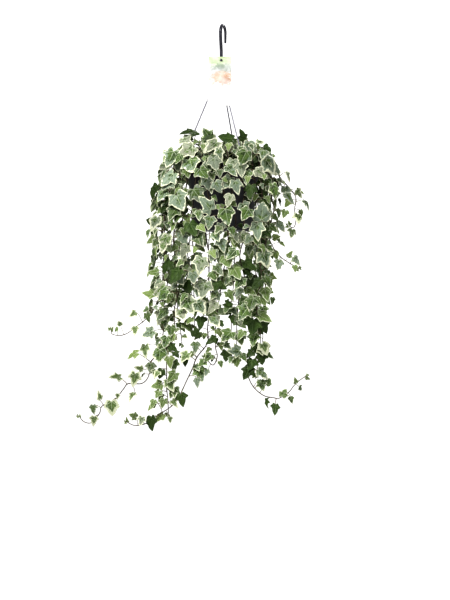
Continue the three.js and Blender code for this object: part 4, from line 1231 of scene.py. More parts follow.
class Crowd:
    """What stands already, to keep new blades from crossing it"""

    def __init__(self):
        self.trees = []

    def take(self, centre, radius, tree):
        self.trees.append((centre, radius, tree))

    def crosses(self, centre, radius, tree):
        for spot, reach, other in self.trees:
            gap = spot - centre
            if gap @ gap < (radius + reach) ** 2 and tree.overlap(other):
                return True
        return False


@cache
def built_blades():
    """The blades built so far, and the pot and hanger that they keep clear of"""
    crowd = Crowd()
    for name in ("pot", "soil", "hanger", "tag", *STRAND_TURNS):
        crowd.take(*node_tree(name))
    return crowd


def blade_tree(leaf, clear):
    """Centre, reach and collision tree of a plain blade, thickened by the clearance"""
    half = PLAIN_HALF if leaf["long"] < PLAIN_BELOW else FULL_HALF
    rim = [(0, 0.03), *half, (1, 0), *[(u, -v) for u, v in reversed(half)], (0, -0.03)]
    side = cross(leaf["face"], leaf["tip"])
    points = []
    for push in (clear, -clear):
        for u, v in rim:
            v *= leaf["spread"]
            spot = leaf["notch"] + leaf["long"] * (leaf["tip"] * u + side * v)
            points.append(spot + leaf["face"] * (rise_at(leaf, u, v) * leaf["long"] + push))
    count, apex = len(rim), len(half) + 1
    faces = [(0, i, i + 1) if i < apex else (count - 1, i, i + 1) for i in range(1, count - 2)]
    faces += [(0, apex, count - 1)]
    faces += [tuple(i + count for i in face) for face in faces]
    faces += [(i, (i + 1) % count, (i + 1) % count + count) for i in range(count)]
    centre = leaf["notch"] + leaf["tip"] * 0.4 * leaf["long"]
    return centre, 0.75 * leaf["long"] + clear, BVHTree.FromPolygons([Vector(p) for p in points], faces)


def node_tree(name):
    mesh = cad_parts[name].data
    points = [corner.co / MM for corner in mesh.vertices]
    low, high = np.array(points).min(0), np.array(points).max(0)
    reach = math.sqrt((high - low) @ (high - low)) / 2
    return (low + high) / 2, reach, BVHTree.FromPolygons(points, [list(p.vertices) for p in mesh.polygons])


def stem_trees(stem):
    """Collision trees of a stem, one for every few lengths of it"""
    path = smooth_path(stem["path"], 2)
    for i in range(0, len(path) - 1, 4):
        piece = path[i : i + 5]
        points, faces = tube(piece, [1.6] * len(piece), 4)
        centre = points.mean(0)
        reach = math.sqrt(((points - centre) ** 2).sum(1).max())
        yield centre, reach, BVHTree.FromPolygons([Vector(p) for p in points], faces)


def young_leaf(stem, distance, index, attempt, sizes):
    """A small leaf between the large ones, turned any way round its stem"""
    draw = seeded(YOUNG_SEED + stem["seed"] * 100003 + index * 1319 + attempt * 17)
    spot = smooth_spot(stem, distance)
    heading = stem_spot(stem, distance)[1]
    out = outwards(stem, spot)
    side = unit(cross(heading, out)) * (1 if draw() < 0.5 else -1)
    length = lerp(*sizes, draw() ** 1.3)
    away = unit(out * (draw() * 1.1 - 0.15) + side * (0.2 + draw()) + vec(0, 0, 0.75 * draw() - 0.15))
    notch = spot + away * length * (0.5 + 0.9 * draw())
    face = out * 0.8 + side * (draw() - 0.4) + vec(0, 0, 0.1 + 0.7 * draw())
    tip = side * (draw() - 0.15) + heading * 0.25 - vec(0, 0, 0.3 + 0.7 * draw())
    face = unit(face)
    tip = unit(tip - face * (tip @ face))
    leaf = dict(distance=distance, notch=notch, tip=tip, face=face, **leaf_shape(length, draw))
    leaf["look"] = leaf_look(stem, leaf, draw)
    return leaf


def tip_leaves(stem):
    """The few folded leaves that open at the end of a stem"""
    draw = seeded(YOUNG_SEED + stem["seed"] * 31)
    end, heading = smooth_spot(stem, stem["whole"]), stem_spot(stem, stem["whole"])[1]
    out = outwards(stem, end)
    side = unit(cross(heading, out))
    for k, length in enumerate((5.5, 8.0, 11.0)):
        distance = stem["whole"] - 0.4 - 3.4 * k
        turn = (-1) ** k * (0.35 + 0.3 * k)
        tip = unit(heading + side * turn + vec(0, 0, -0.15) + out * 0.2 * draw())
        face = unit(out + side * (draw() - 0.5))
        face = unit(face - tip * (face @ tip))
        notch = smooth_spot(stem, distance) + tip * (0.8 + 1.5 * k)
        leaf = dict(distance=distance, notch=notch, tip=tip, face=face, **leaf_shape(length, draw))
        leaf["fold"] = 0.55 - 0.12 * k
        leaf["look"] = (0.08, 0.5, 0.72 + 0.2 * draw())
        yield leaf


def add_young(stem, crowd, plant):
    """Small leaves all along a stem, wherever they cross nothing"""
    stem["young"] = list(tip_leaves(stem))
    gap = plant.young_gap / MM * (1 if stem["front"] or stem["crown"] else 1.4)
    sizes = (plant.young_short / MM, plant.young_long / MM)
    first = 12 if stem["crown"] else 26
    if stem["name"] in THIN:
        gap *= 2.4
    for index in range(int((stem["whole"] - first - 6) / gap)):
        distance = first + (index + 0.5) * gap
        across, _, height = stem_spot(stem, distance)[0]
        if any(low < height < high for low, high in stem.get("bare", ())) and index % 3:
            continue
        crowded = across > 92 and height < -330 or across > 0 and height < -480
        if height < YOUNG_LOWEST or crowded and stem["name"] not in THIN and index % 3:
            continue
        for attempt in range(YOUNG_TRIES):
            leaf = young_leaf(stem, distance, index, attempt, sizes)
            found = blade_tree(leaf, YOUNG_CLEAR)
            if not crowd.crosses(*found):
                crowd.take(*found)
                stem["young"].append(leaf)
                break


def build_stems(names, plant):
    """One piece for every named leafy stem, in place of its plain node"""
    finishes = shared_finishes()
    forms = {key: blade_template(half, FULL_RINGS) for key, half in OUTLINES.items()}
    young = blade_template(YOUNG, YOUNG_RINGS)
    thick = plant.blade / MM
    for stem in all_stems():
        if stem["name"] not in names:
            continue
        draw = seeded(stem["seed"] * 50021)
        skin = Skin()
        add_stem(skin, stem, plant)
        for leaf in stem["leaves"]:
            leaf["look"] = leaf_look(stem, leaf, draw)
            add_petiole(skin, stem, leaf, plant, draw())
            form = draw_from("llllbb" if leaf["long"] > PLAIN_BELOW else "llbyyy", draw)
            add_blade(skin, leaf, forms[form], thick, draw)
        for leaf in stem["young"]:
            add_petiole(skin, stem, leaf, plant, draw())
            add_blade(skin, leaf, young, thick * 0.8, draw)
        name = stem["name"].replace("vine_", "ivy_").replace("crown_", "ivy_crown_")
        finish_piece(skin.build(name, finishes), "ivy_leaf", stem["name"])


# Pot, soil, hanger, strands and tag
LATHE_SIDES = 96
SOIL_SEED, SOIL_RINGS, SOIL_SIDES = 4177, 22, 72
CHIP_REACH = 66
CHIP_CORNERS = [(x, y, z) for z in (-1, 1) for x, y in ((-1, -1), (1, -1), (1, 1), (-1, 1))]
CHIP_FACES = [(0, 3, 2, 1), (4, 5, 6, 7), (0, 1, 5, 4), (1, 2, 6, 5), (2, 3, 7, 6), (3, 0, 4, 7)]


def lathe(profile, sides=LATHE_SIDES):
    """Points and faces of a profile of radius and height turned round the upright axis"""
    points, faces, starts = [], [], []
    for radius, z in profile:
        starts.append(len(points))
        if radius == 0:
            points.append((0, 0, z))
        else:
            points += [tuple(polar(radius, 360 * k / sides, z)) for k in range(sides)]
    for (r0, _), (r1, _), a, b in zip(profile, profile[1:], starts, starts[1:]):
        for k in range(sides):
            m = (k + 1) % sides
            if r0 == 0:
                faces.append((a, b + k, b + m))
            elif r1 == 0:
                faces.append((a + m, a + k, b))
            else:
                faces.append((a + m, a + k, b + k, b + m))
    return points, faces


def block(centre, size, turn):
    """Points and faces of a block with its long side along a direction round the axis"""
    points = []
    for dx in (-0.5, 0.5):
        for dy in (-0.5, 0.5):
            for dz in (-0.5, 0.5):
                spot = vec(centre + dx * size[0], dy * size[1], 0)
                points.append(turned(spot, vec(0, 0, 1), turn) + vec(0, 0, size[2] + dz * size[3]))
    faces = [(0, 1, 3, 2), (4, 6, 7, 5), (0, 4, 5, 1), (2, 3, 7, 6), (0, 2, 6, 4), (1, 5, 7, 3)]
    return points, faces


def object_of(name, points, faces, smooth=True):
    """A mesh object of points in millimetres, with its faces turned outwards"""
    mesh = bpy.data.meshes.new(name)
    mesh.from_pydata([tuple(vec(*p) * MM) for p in points], [], faces)
    tidy = bmesh.new()
    tidy.from_mesh(mesh)
    bmesh.ops.recalc_face_normals(tidy, faces=tidy.faces)
    tidy.to_mesh(mesh)
    tidy.free()
    mesh.polygons.foreach_set("use_smooth", [smooth] * len(mesh.polygons))
    made = bpy.data.objects.new(name, mesh)
    bpy.context.scene.collection.objects.link(made)
    return made


def cut(target, tool, operation="DIFFERENCE"):
    """Applies one boolean of a tool object to a target object, and deletes the tool"""
    step = target.modifiers.new("cut", "BOOLEAN")
    step.operation, step.solver, step.object = operation, "EXACT", tool
    apply_modifiers(target)
    bpy.data.objects.remove(tool)


def apply_modifiers(target):
    graph = bpy.context.evaluated_depsgraph_get()
    made = bpy.data.meshes.new_from_object(target.evaluated_get(graph))
    old = target.data
    target.modifiers.clear()
    target.data = made
    bpy.data.meshes.remove(old)


def soften(target, width, segments=2, angle=35):
    """Rounds the sharp edges of a piece and shades it smooth between them"""
    bevel = target.modifiers.new("round", "BEVEL")
    bevel.width, bevel.segments, bevel.limit_method = width * MM, segments, "ANGLE"
    bevel.angle_limit = math.radians(angle)
    bevel.harden_normals = False
    apply_modifiers(target)
    target.data.polygons.foreach_set("use_smooth", [True] * len(target.data.polygons))
    target.data.set_sharp_from_angle(angle=math.radians(40))


def build_pot(settings):
    """Thin moulded pot: rolled rim, collar, ring under its base, drain holes and strand lugs"""
    base, top = POT["rim_top"] - POT["height"], POT["rim_top"]
    collar = top - POT["collar"]
    body = POT["rim_radius"] - POT["ledge"] - 1
    foot, wall = POT["base_radius"], POT["wall"]
    profile = [
        (0, base + 0.9), (foot - 7, base + 0.9), (foot - 6, base), (foot - 1.6, base),
        (foot - 0.5, base + 0.5), (foot, base + 2), (body - 0.25, collar - 0.6),
        (body + 0.3, collar), (body + POT["ledge"] - 0.5, collar), (body + POT["ledge"], collar + 0.5),
        (POT["rim_radius"], top - 1.2), (POT["rim_radius"] - 0.3, top - 0.3),
        (POT["rim_radius"] - 0.9, top), (POT["rim_radius"] - wall, top - 0.1),
        (POT["rim_radius"] - wall - 0.6, top - 0.9), (POT["rim_radius"] - wall - 1.2, collar + 3),
        (body - wall, collar - 1.5), (foot - wall, base + 2), (0, base + 2),
    ]
    pot = object_of("pot_body", *lathe(profile))
    for turn in STRAND_TURNS.values():
        centre = (LUG["reach"] + POT["rim_radius"] - 1.4) / 2
        size = (LUG["reach"] - POT["rim_radius"] + 1.4, LUG["wide"], top - LUG["thick"] / 2, LUG["thick"])
        lug = object_of("lug", *block(centre, size, turn))
        cut(pot, lug, "UNION")
        at = polar(LUG["circle"], turn, 0)
        path = [at + vec(0, 0, top + 2), at + vec(0, 0, top - LUG["thick"] - 2)]
        cut(pot, object_of("bore", *tube(path, [LUG["hole"]] * 2, 20)))
    for k in range(POT["drains"]):
        at = polar(POT["drain_circle"], k * 360 / POT["drains"] + 30, 0)
        path = [at + vec(0, 0, base + 4), at + vec(0, 0, base - 2)]
        cut(pot, object_of("drain", *tube(path, [POT["drain_radius"]] * 2, 24)))
    soften(pot, 0.3)
    pot.data.materials.append(
        plastic_material("pot_plastic", settings.colour, settings.dust_and_sheen_colour, settings.roughness, 90.0)
    )
    finish_piece(pot, "pot_plastic", "pot")


def build_soil(settings):
    """Peat filling with a crumbly top and bits of bark"""
    draw = seeded(SOIL_SEED)
    rings, sides = SOIL_RINGS, SOIL_SIDES
    top, edge = SOIL["top"], POT["rim_top"] - POT["collar"] - 2
    floor = POT["rim_top"] - POT["height"] + POT["floor"] + GAP

    def inner(z):
        low, high = POT["base_radius"], POT["rim_radius"] - POT["ledge"] - 1
        base = POT["rim_top"] - POT["height"] + POT["floor"]
        share = (z - base) / (POT["rim_top"] - POT["collar"] - base)
        return lerp(low, high, share) - POT["wall"] - GAP - 0.1

    points, faces = [(0, 0, top + SOIL["dome"])], []
    for ring in range(1, rings + 1):
        share = ring / rings
        for k in range(sides):
            radius = inner(edge) * share
            high = lerp(top + SOIL["dome"], edge, max(0, share - 0.6) / 0.4)
            bump = (draw() - 0.5) * 1.8 * (1 if ring < rings else 0)
            angle = 360 * (k + (0.25 * (draw() - 0.5) if ring < rings else 0)) / sides
            points.append(tuple(polar(radius, angle, high + bump)))
    faces += [(0, 1 + k, 1 + (k + 1) % sides) for k in range(sides)]
    for ring in range(rings - 1):
        for k in range(sides):
            a, b = 1 + ring * sides + k, 1 + ring * sides + (k + 1) % sides
            faces.append((a, a + sides, b + sides, b))
    last = 1 + (rings - 1) * sides
    low = len(points)
    points += [tuple(polar(inner(floor), 360 * k / sides, floor)) for k in range(sides)]
    faces += [(last + k, low + k, low + (k + 1) % sides, last + (k + 1) % sides) for k in range(sides)]
    faces.append(tuple(range(low + sides - 1, low - 1, -1)))
    skin = Skin()
    skin.add(points, faces, 0, (0, 0, 0))
    for _ in range(settings.chips):
        radius, angle = CHIP_REACH * math.sqrt(draw()), 360 * draw()
        share = radius / inner(edge)
        high = lerp(top + SOIL["dome"], edge, max(0, share - 0.6) / 0.4)
        centre = polar(radius, angle, high + 0.6)
        size = vec(1.2 + 3.2 * draw(), 0.8 + 1.6 * draw(), 0.5 + 0.8 * draw())
        axis = unit(vec(draw() - 0.5, draw() - 0.5, 2))
        turn = 360 * draw()
        corners = []
        for place in CHIP_CORNERS:
            corner = vec(*place) * size * (0.65 + 0.35 * draw())
            corners.append(centre + turned(corner, axis, turn))
        skin.add(corners, CHIP_FACES, 0, (1 if draw() < 0.8 else 2, draw(), 0))
    piece = skin.build("potting_mix", [soil_material(settings)], smooth=False)
    finish_piece(piece, "potting_soil", "soil")


def hook_line():
    """Points and radii of the hook and its stem"""
    across = polar(1, HOOK["turn"], 0)
    spots, radii = [], []
    bend, tip, tip_z = HOOK["bend"], HOOK["tip"], HOOK["tip_drop"]
    low = [(bend - 0.8, tip_z - 1.6, tip * 0.55), (bend - 0.7, tip_z, tip)]
    for along, z, radius in low:
        spots.append(across * along + vec(0, 0, z))
        radii.append(radius)
    for step in range(17):
        angle = step * math.pi / 16
        centre_z = HOOK["drop"] + bend * math.sin(angle)
        spots.append(across * bend * math.cos(angle) + vec(0, 0, centre_z))
        radii.append(lerp(tip + 0.4, HOOK["tube"], min(step / 8, 1)))
    for place in (*HOOK_STEM, (HUB["x"], 0, HUB["z"] - 1)):
        spots.append(vec(*place))
        radii.append(HOOK["tube"])
    return spots, radii


def tag_frame():
    """The middle of the tag's hole on its back, the way its front faces, and the way up"""
    tilt = math.radians(TAG["tilt"])
    front = vec(0, -math.cos(tilt), math.sin(tilt))
    up = vec(0, math.sin(tilt), math.cos(tilt))
    back = vec(PEG["x"], -(HOOK["tube"] + GAP + TAG["top_margin"] * math.sin(tilt)), TAG["hole_z"])
    return back, front, up


def build_hanger(settings):
    """Hook, stem, hub disc and tag peg in one glossy moulding"""
    spots, radii = hook_line()
    path = smooth_path(spots, 4)
    thick = list(np.interp(np.arange(len(path)) / 4, range(len(radii)), radii))
    thick[0] *= 0.4
    skin = Skin()
    skin.add(*tube(path, thick, 24))
    top, low = HUB["z"] + HUB["thick"] / 2, HUB["z"] - HUB["thick"] / 2
    wide = HUB["radius"]
    profile = [
        (0, low), (wide - 1.6, low), (wide - 1, low + 0.5), (wide, top - 0.6), (wide - 0.6, top),
        (HOOK["tube"] + 2.2, top), (HOOK["tube"] + 0.8, top + 1.6), (0, top + 1.7),
    ]
    points, faces = lathe(profile, 48)
    hub = object_of("hub", [vec(*p) + vec(HUB["x"], 0, 0) for p in points], faces)
    for turn in STRAND_TURNS.values():
        head, bend = strand_line(turn)
        seat = tube([head, lerp(head, bend, 0.12)], [STRAND["radius"] + GAP + 0.1] * 2, 16)
        cut(hub, object_of("seat", *seat))
    back, front, _ = tag_frame()
    head_from = TAG["thick"] + GAP
    shank = [back - front * 6, back + front * (head_from + 0.4)]
    skin.add(*tube(shank, [PEG["radius"]] * 2, 20))
    dome = [(0, 0.86), (0.35, 1), (0.75, 0.95), (1.05, 0.7), (1.2, 0.05)]
    head = [back + front * (head_from + far) for far, _ in dome]
    skin.add(*tube(head, [PEG["head"] * share for _, share in dome], 24))
    piece = skin.build("hook_hanger", [])
    join_into(piece, hub)
    piece.data.polygons.foreach_set("use_smooth", [True] * len(piece.data.polygons))
    piece.data.set_sharp_from_angle(angle=math.radians(40))
    piece.data.materials.clear()
    piece.data.materials.append(
        plastic_material("hanger_plastic", settings.colour, settings.dust_and_sheen_colour, settings.roughness, 260.0)
    )
    finish_piece(piece, "hanger_plastic", "hanger")


def join_into(piece, other):
    """Adds another object's mesh to a piece's own, and deletes the other"""
    both = bmesh.new()
    both.from_mesh(piece.data)
    both.from_mesh(other.data)
    both.to_mesh(piece.data)
    both.free()
    bpy.data.objects.remove(other)


def strand_line(turn):
    head = polar(HUB["circle"], turn, HUB["z"] + HUB["thick"] / 2 + GAP + STRAND["ball"])
    return head + vec(HUB["x"], 0, 0), polar(LUG["circle"], turn, STRAND["bend_z"])


def build_strand(name, turn, finish):
    """A strand with the ball it hangs by, its shoulder over the lug and its barb under it"""
    head, bend = strand_line(turn)
    top = POT["rim_top"]
    foot = polar(LUG["circle"], turn, top - LUG["thick"] - GAP - 1)
    near, beyond = lerp(bend, head, 0.03), lerp(bend, foot, 0.35)
    path = [head, lerp(head, bend, 0.5), near, *smooth_path([near, bend, beyond], 3)[1:], foot]
    skin = Skin()
    skin.add(*tube(path, [STRAND["radius"]] * len(path), 12))
    ball = [(math.cos(a), math.sin(a)) for a in np.linspace(0.02, math.pi - 0.02, 11)]
    spots = [head + vec(0, 0, high) * STRAND["ball"] for high, _ in ball]
    skin.add(*tube(spots, [wide * STRAND["ball"] for _, wide in ball], 16))
    shoulder_top, shoulder_low = STRAND["shoulder_top"], top + GAP
    tall, wide = shoulder_top - shoulder_low, STRAND["shoulder"]
    shape = (
        (0, 1.35), (0.5, 1.6), (4, 1.8), (tall - 3, wide - 0.2), (tall - 0.5, wide),
        (tall, wide - 0.5),
    )
    at = vec(foot[0], foot[1], 0)
    skin.add(*tube([at + vec(0, 0, shoulder_top - down) for down, _ in shape], [r for _, r in shape], 16))
    barb_top = top - LUG["thick"] - GAP
    wide, long = STRAND["barb"], STRAND["barb_long"]
    shape = ((0, wide - 0.4), (0.5, wide), (2, wide - 0.5), (long - 0.6, 1.3), (long, 0.7))
    skin.add(*tube([at + vec(0, 0, barb_top - down) for down, _ in shape], [r for _, r in shape], 16))
    piece = skin.build(name + "_rod", [finish])
    piece.data.set_sharp_from_angle(angle=math.radians(50))
    finish_piece(piece, "strand_plastic", name)


ARC_STEP = 15


def arc(x, z, radius, turns):
    angles = [math.radians(turn) for turn in turns]
    return [(x + radius * math.cos(angle), z + radius * math.sin(angle)) for angle in angles]


def build_tag(settings):
    """A thin card with round corners and a punched hole, softly printed on its front"""
    back, front, up = tag_frame()
    half, corner, top = TAG["wide"] / 2, TAG["corner"], TAG["top_margin"]
    foot = top - TAG["tall"]
    near, low, high = half - corner, foot + corner, top - corner
    rim = []
    for x, z, start in ((near, low, -90), (near, high, 0), (-near, high, 90), (-near, low, 180)):
        rim += arc(x, z, corner, [start + ARC_STEP * k for k in range(7)])
    hole = arc(PEG["x"] - TAG["x"], 0, TAG["hole"], [-ARC_STEP * k for k in range(24)])
    flat = bmesh.new()
    outer = [flat.verts.new((x, z, 0)) for x, z in rim]
    inner = [flat.verts.new((x, z, 0)) for x, z in hole]
    edges = [
        flat.edges.new((ring[i], ring[(i + 1) % len(ring)]))
        for ring in (outer, inner)
        for i in range(len(ring))
    ]
    bmesh.ops.triangle_fill(flat, use_beauty=True, edges=edges)
    flat.verts.index_update()
    places = [tuple(corner.co[:2]) for corner in flat.verts]
    faces = [tuple(v.index for v in face.verts) for face in flat.faces]
    flat.free()
    origin = vec(TAG["x"], back[1], back[2])
    points = [
        origin + vec(x, 0, 0) + up * z + front * depth
        for depth in (TAG["thick"], 0)
        for x, z in places
    ]
    size, count, inside = len(places), len(rim), len(hole)
    both = list(faces) + [tuple(i + size for i in reversed(face)) for face in faces]
    both += [(i, (i + 1) % count, (i + 1) % count + size, i + size) for i in range(count)]
    for i in range(inside):
        a, b = count + i, count + (i + 1) % inside
        both.append((a, b, b + size, a + size))
    skin = Skin()
    marks = [(x / TAG["wide"] + 0.5, (z - foot) / TAG["tall"], side) for side in (1, 0) for x, z in places]
    skin.add(points, both, 0, marks)
    piece = skin.build("plant_tag", [tag_material(settings)], smooth=False)
    tidy = bmesh.new()
    tidy.from_mesh(piece.data)
    bmesh.ops.recalc_face_normals(tidy, faces=tidy.faces)
    tidy.to_mesh(piece.data)
    tidy.free()
    finish_piece(piece, "tag_card", "tag")


# Stage
CAMERA_BACK = 4.5
CAMERA_X, CAMERA_Z = 0.004, -0.546
LENS = 135
SENSOR = 36
AIM = (0, 0, -0.45)
FLOOR_WIDE, FLOOR_SIDES = 30.0, 96


def seen_only(tree, plain, glow, strength):
    """The plain shader for light, mixed with a white glow that only the camera sees"""
    nodes, links = tree.nodes, tree.links
    ray = nodes.new("ShaderNodeLightPath")
    share = nodes.new("ShaderNodeMath")
    share.operation = "MULTIPLY"
    share.inputs[1].default_value = strength
    links.new(ray.outputs["Is Camera Ray"], share.inputs[0])
    mix = nodes.new("ShaderNodeMixShader")
    links.new(share.outputs[0], mix.inputs[0])
    links.new(plain, mix.inputs[1])
    links.new(glow, mix.inputs[2])
    return mix.outputs[0]


def pale_world(strength):
    world = bpy.data.worlds.new("pale_room")
    world.use_nodes = True
    tree = world.node_tree
    plain = tree.nodes["Background"]
    plain.inputs["Color"].default_value = (1, 1, 1, 1)
    plain.inputs["Strength"].default_value = strength
    glow = tree.nodes.new("ShaderNodeBackground")
    glow.inputs["Color"].default_value = (1, 1, 1, 1)
    seen = seen_only(tree, plain.outputs[0], glow.outputs[0], 1)
    tree.links.new(seen, tree.nodes["World Output"].inputs["Surface"])
    return world


def pale_floor(settings):
    """A round floor, white from above and clear from below"""
    turns = np.arange(FLOOR_SIDES) * math.tau / FLOOR_SIDES
    rim = [(FLOOR_WIDE * math.cos(a), FLOOR_WIDE * math.sin(a), settings.floor) for a in turns]
    mesh = bpy.data.meshes.new("floor")
    mesh.from_pydata(rim, [], [tuple(range(FLOOR_SIDES))])
    floor = bpy.data.objects.new("floor", mesh)
    bpy.context.scene.collection.objects.link(floor)
    finish, w, shader = start_material("pale_floor", 0.9, 0.1)
    shader["Base Color"].default_value = rgb(settings.floor_colour)
    tree = finish.node_tree
    nodes, links = tree.nodes, tree.links
    glow = nodes.new("ShaderNodeEmission")
    glow.inputs["Color"].default_value = (1, 1, 1, 1)
    plain = nodes["Principled BSDF"].outputs[0]
    above = seen_only(tree, plain, glow.outputs[0], settings.glow)
    mix = nodes.new("ShaderNodeMixShader")
    links.new(nodes.new("ShaderNodeNewGeometry").outputs["Backfacing"], mix.inputs[0])
    links.new(above, mix.inputs[1])
    links.new(nodes.new("ShaderNodeBsdfTransparent").outputs[0], mix.inputs[2])
    links.new(mix.outputs[0], nodes["Material Output"].inputs["Surface"])
    mesh.materials.append(finish)
    return floor


def build_stage(settings):
    """A wide pale floor in a pale room, soft lights and the camera"""
    scene = bpy.context.scene
    scene.world = pale_world(settings.room)
    scene.view_settings.view_transform = "Standard"
    scene.view_settings.look = "High Contrast"
    pale_floor(settings)
    for name, place, size, power in (
        ("key", (-1.3, -2.1, 1.7), 1.1, settings.key),
        ("fill", (2.2, -2.4, 0.2), 2.2, settings.fill),
        ("rear", (1.2, 2.3, 1.2), 2.0, settings.rear),
    ):
        light = bpy.data.lights.new(name, "AREA")
        light.energy, light.size = power, size
        lamp = bpy.data.objects.new(name, light)
        lamp.visible_camera = False
        lamp.location = place
        lamp.rotation_mode = "QUATERNION"
        lamp.rotation_quaternion = (Vector(AIM) - lamp.location).to_track_quat("-Z", "Y")
        scene.collection.objects.link(lamp)
    lens = bpy.data.cameras.new("camera")
    lens.lens, lens.sensor_width = LENS, SENSOR
    lens.clip_end = 40
    camera = bpy.data.objects.new("camera", lens)
    camera.location = (CAMERA_X, -CAMERA_BACK, CAMERA_Z)
    camera.rotation_euler = (math.pi / 2, 0, 0)
    scene.collection.objects.link(camera)
    scene.camera = camera


# Settings
def colour(name, description, value):
    return FloatVectorProperty(
        name=name, description=description, default=value, min=0, max=1, size=3, subtype="COLOR"
    )


def length(name, description, value):
    return FloatProperty(name=name, description=description, default=value, min=0, unit="LENGTH")


def share(name, description, value):
    return FloatProperty(name=name, description=description, default=value, min=0, max=1, subtype="FACTOR")


class IvyPlantSettings(bpy.types.PropertyGroup):
    stem: length("Stem radius", "Radius of a trailing stem where it leaves the soil", 0.0016)
    crown_stem: length("Short stem radius", "Radius of a short stem over the pot", 0.0014)
    stem_tip: length("Tip radius", "Radius of every stem near its end", 0.0008)
    petiole: length("Petiole radius", "Radius of a large leaf's petiole", 0.00062)
    blade: length("Blade thickness", "Thickness of a large blade", 0.0005)
    young_gap: length("Young leaf spacing", "Stem length between two small leaves", 0.014)
    young_short: length("Shortest young leaf", "Blade length of the smallest leaves", 0.012)
    young_long: length("Longest young leaf", "Blade length of the largest of the small leaves", 0.022)
    stem_sides: IntProperty(name="Stem sides", description="Faces round a stem", default=8, min=5)
    stem_steps: IntProperty(name="Stem steps", description="Bends in each stretch of stem", default=5, min=2)
    vein_width: share("Vein width", "Width of a main vein for a blade of length 1", 0.013)
    roughness: share("Leaf roughness", "Roughness of the upper side", 0.42)
    silver: colour("Silver", "Heart of a grey leaf", (0.235, 0.295, 0.22))
    warm: colour("Warm silver", "Heart of a leaf that turns grey brown", (0.33, 0.33, 0.245))
    mist: colour("Mist", "Palest patches of a grey leaf", (0.36, 0.43, 0.32))
    green: colour("Green", "Green patches", (0.125, 0.195, 0.055))
    deep: colour("Deep green", "Darkest patches", (0.036, 0.062, 0.02))
    # Painted shade: deep green of blades inside and low in the plant, and of darker leaves
    dark: colour("Old green", "Leaves low in the light", (0.04, 0.072, 0.018))
    cream: colour("Cream", "Margin", (0.82, 0.84, 0.58))
    ivory: colour("Ivory", "Palest margin", (0.93, 0.94, 0.78))
    vein: colour("Vein", "Main veins", (0.58, 0.66, 0.46))
    young: colour("Young green", "Leaves that opened last", (0.25, 0.33, 0.12))
    under: colour("Under side", "Back of every blade", (0.30, 0.40, 0.20))


class IvyStemSettings(bpy.types.PropertyGroup):
    old: colour("Old stem", "Stem near the soil", (0.04, 0.027, 0.02))
    young: colour("Young stem", "Stem near its tip", (0.15, 0.12, 0.09))
    streak: colour("Streak", "Streaks along a stem", (0.09, 0.07, 0.05))
    petiole: colour("Petiole", "Most petioles", (0.24, 0.26, 0.13))
    blush: colour("Blush", "Petioles that the light reddens", (0.26, 0.17, 0.13))


class IvyPotSettings(bpy.types.PropertyGroup):
    colour: colour("Pot", "Plastic of the pot", (0.05, 0.05, 0.057))
    # Paler slate: rubbed and dusty plastic, and painted sheen
    dust_and_sheen_colour: colour("Scuffed plastic", "Plastic where it is rubbed and dusty", (0.085, 0.083, 0.095))
    roughness: share("Roughness", "Roughness of the pot", 0.4)
    peat: colour("Peat", "Potting mix", (0.02, 0.013, 0.009))
    fibre: colour("Fibre", "Paler fibres of the mix", (0.075, 0.045, 0.027))
    bark: colour("Bark", "Bits of bark", (0.10, 0.055, 0.03))
    grain: colour("Grain", "Pale grains", (0.6, 0.57, 0.5))
    chips: IntProperty(name="Bits of bark", description="Bits that lie on the mix", default=150, min=0)


class IvyHangerSettings(bpy.types.PropertyGroup):
    colour: colour("Hanger", "Plastic of the hook", (0.04, 0.04, 0.052))
    # Paler slate: rubbed and dusty plastic, and painted sheen
    dust_and_sheen_colour: colour("Rubbed hanger", "Rubbed plastic of the hook", (0.1, 0.098, 0.115))
    roughness: share("Roughness", "Roughness of the hook", 0.28)
    strand: colour("Strand", "Plastic of the strands", (0.24, 0.235, 0.27))
    # Paler slate: rubbed and dusty plastic, and painted sheen
    strand_dust_and_sheen: colour("Rubbed strand", "Rubbed plastic of the strands", (0.34, 0.33, 0.38))
    card: colour("Card", "Bare card of the tag", (0.86, 0.86, 0.84))
    pale: colour("Pale green", "Wash at the top of the tag", (0.44, 0.56, 0.26))
    sage: colour("Sage", "Grey green band of the tag", (0.25, 0.31, 0.25))
    peach: colour("Peach", "Orange wash of the tag", (0.66, 0.42, 0.25))
    rose: colour("Rose", "Brown wash of the tag", (0.45, 0.24, 0.16))
    lilac: colour("Lilac", "Grey lilac wash of the tag", (0.42, 0.42, 0.46))


class IvyStageSettings(bpy.types.PropertyGroup):
    floor: FloatProperty(name="Floor", description="Height of the floor", default=-1.3, unit="LENGTH")
    floor_colour: colour("Floor colour", "Floor", (0.9, 0.9, 0.9))
    room: FloatProperty(name="Room light", description="Light from all round", default=0.15, min=0)
    key: FloatProperty(name="Key light", description="Light from the left", default=80, min=0, unit="POWER")
    fill: FloatProperty(
        name="Fill light", description="Light from the right", default=20, min=0, unit="POWER"
    )
    rear: FloatProperty(
        name="Rear light", description="Light from behind", default=52, min=0, unit="POWER"
    )
    glow: share("Floor glow", "White that only the camera sees", 0.8)


_stems = []
_finishes = []


def shared_finishes():
    """The materials of the upper sides, the under sides and the stems"""
    if not _finishes:
        scene = bpy.context.scene
        _finishes.extend([leaf_material(scene.ivy_plant, False), leaf_material(scene.ivy_plant, True)])
        _finishes.append(stem_material(scene.ivy_stem))
    return _finishes


def all_stems():
    """Every leafy stem, grown once"""
    if not _stems:
        _stems.extend(grow_all())
        crowd = Crowd()
        for name in ("pot", "hanger", "tag", *STRAND_TURNS):
            crowd.take(*node_tree(name))
        for stem in _stems:
            for tree in stem_trees(stem):
                crowd.take(*tree)
            for leaf in stem["leaves"]:
                crowd.take(*blade_tree(leaf, 0.4))
        for stem in _stems:
            add_young(stem, crowd, bpy.context.scene.ivy_plant)
    return _stems


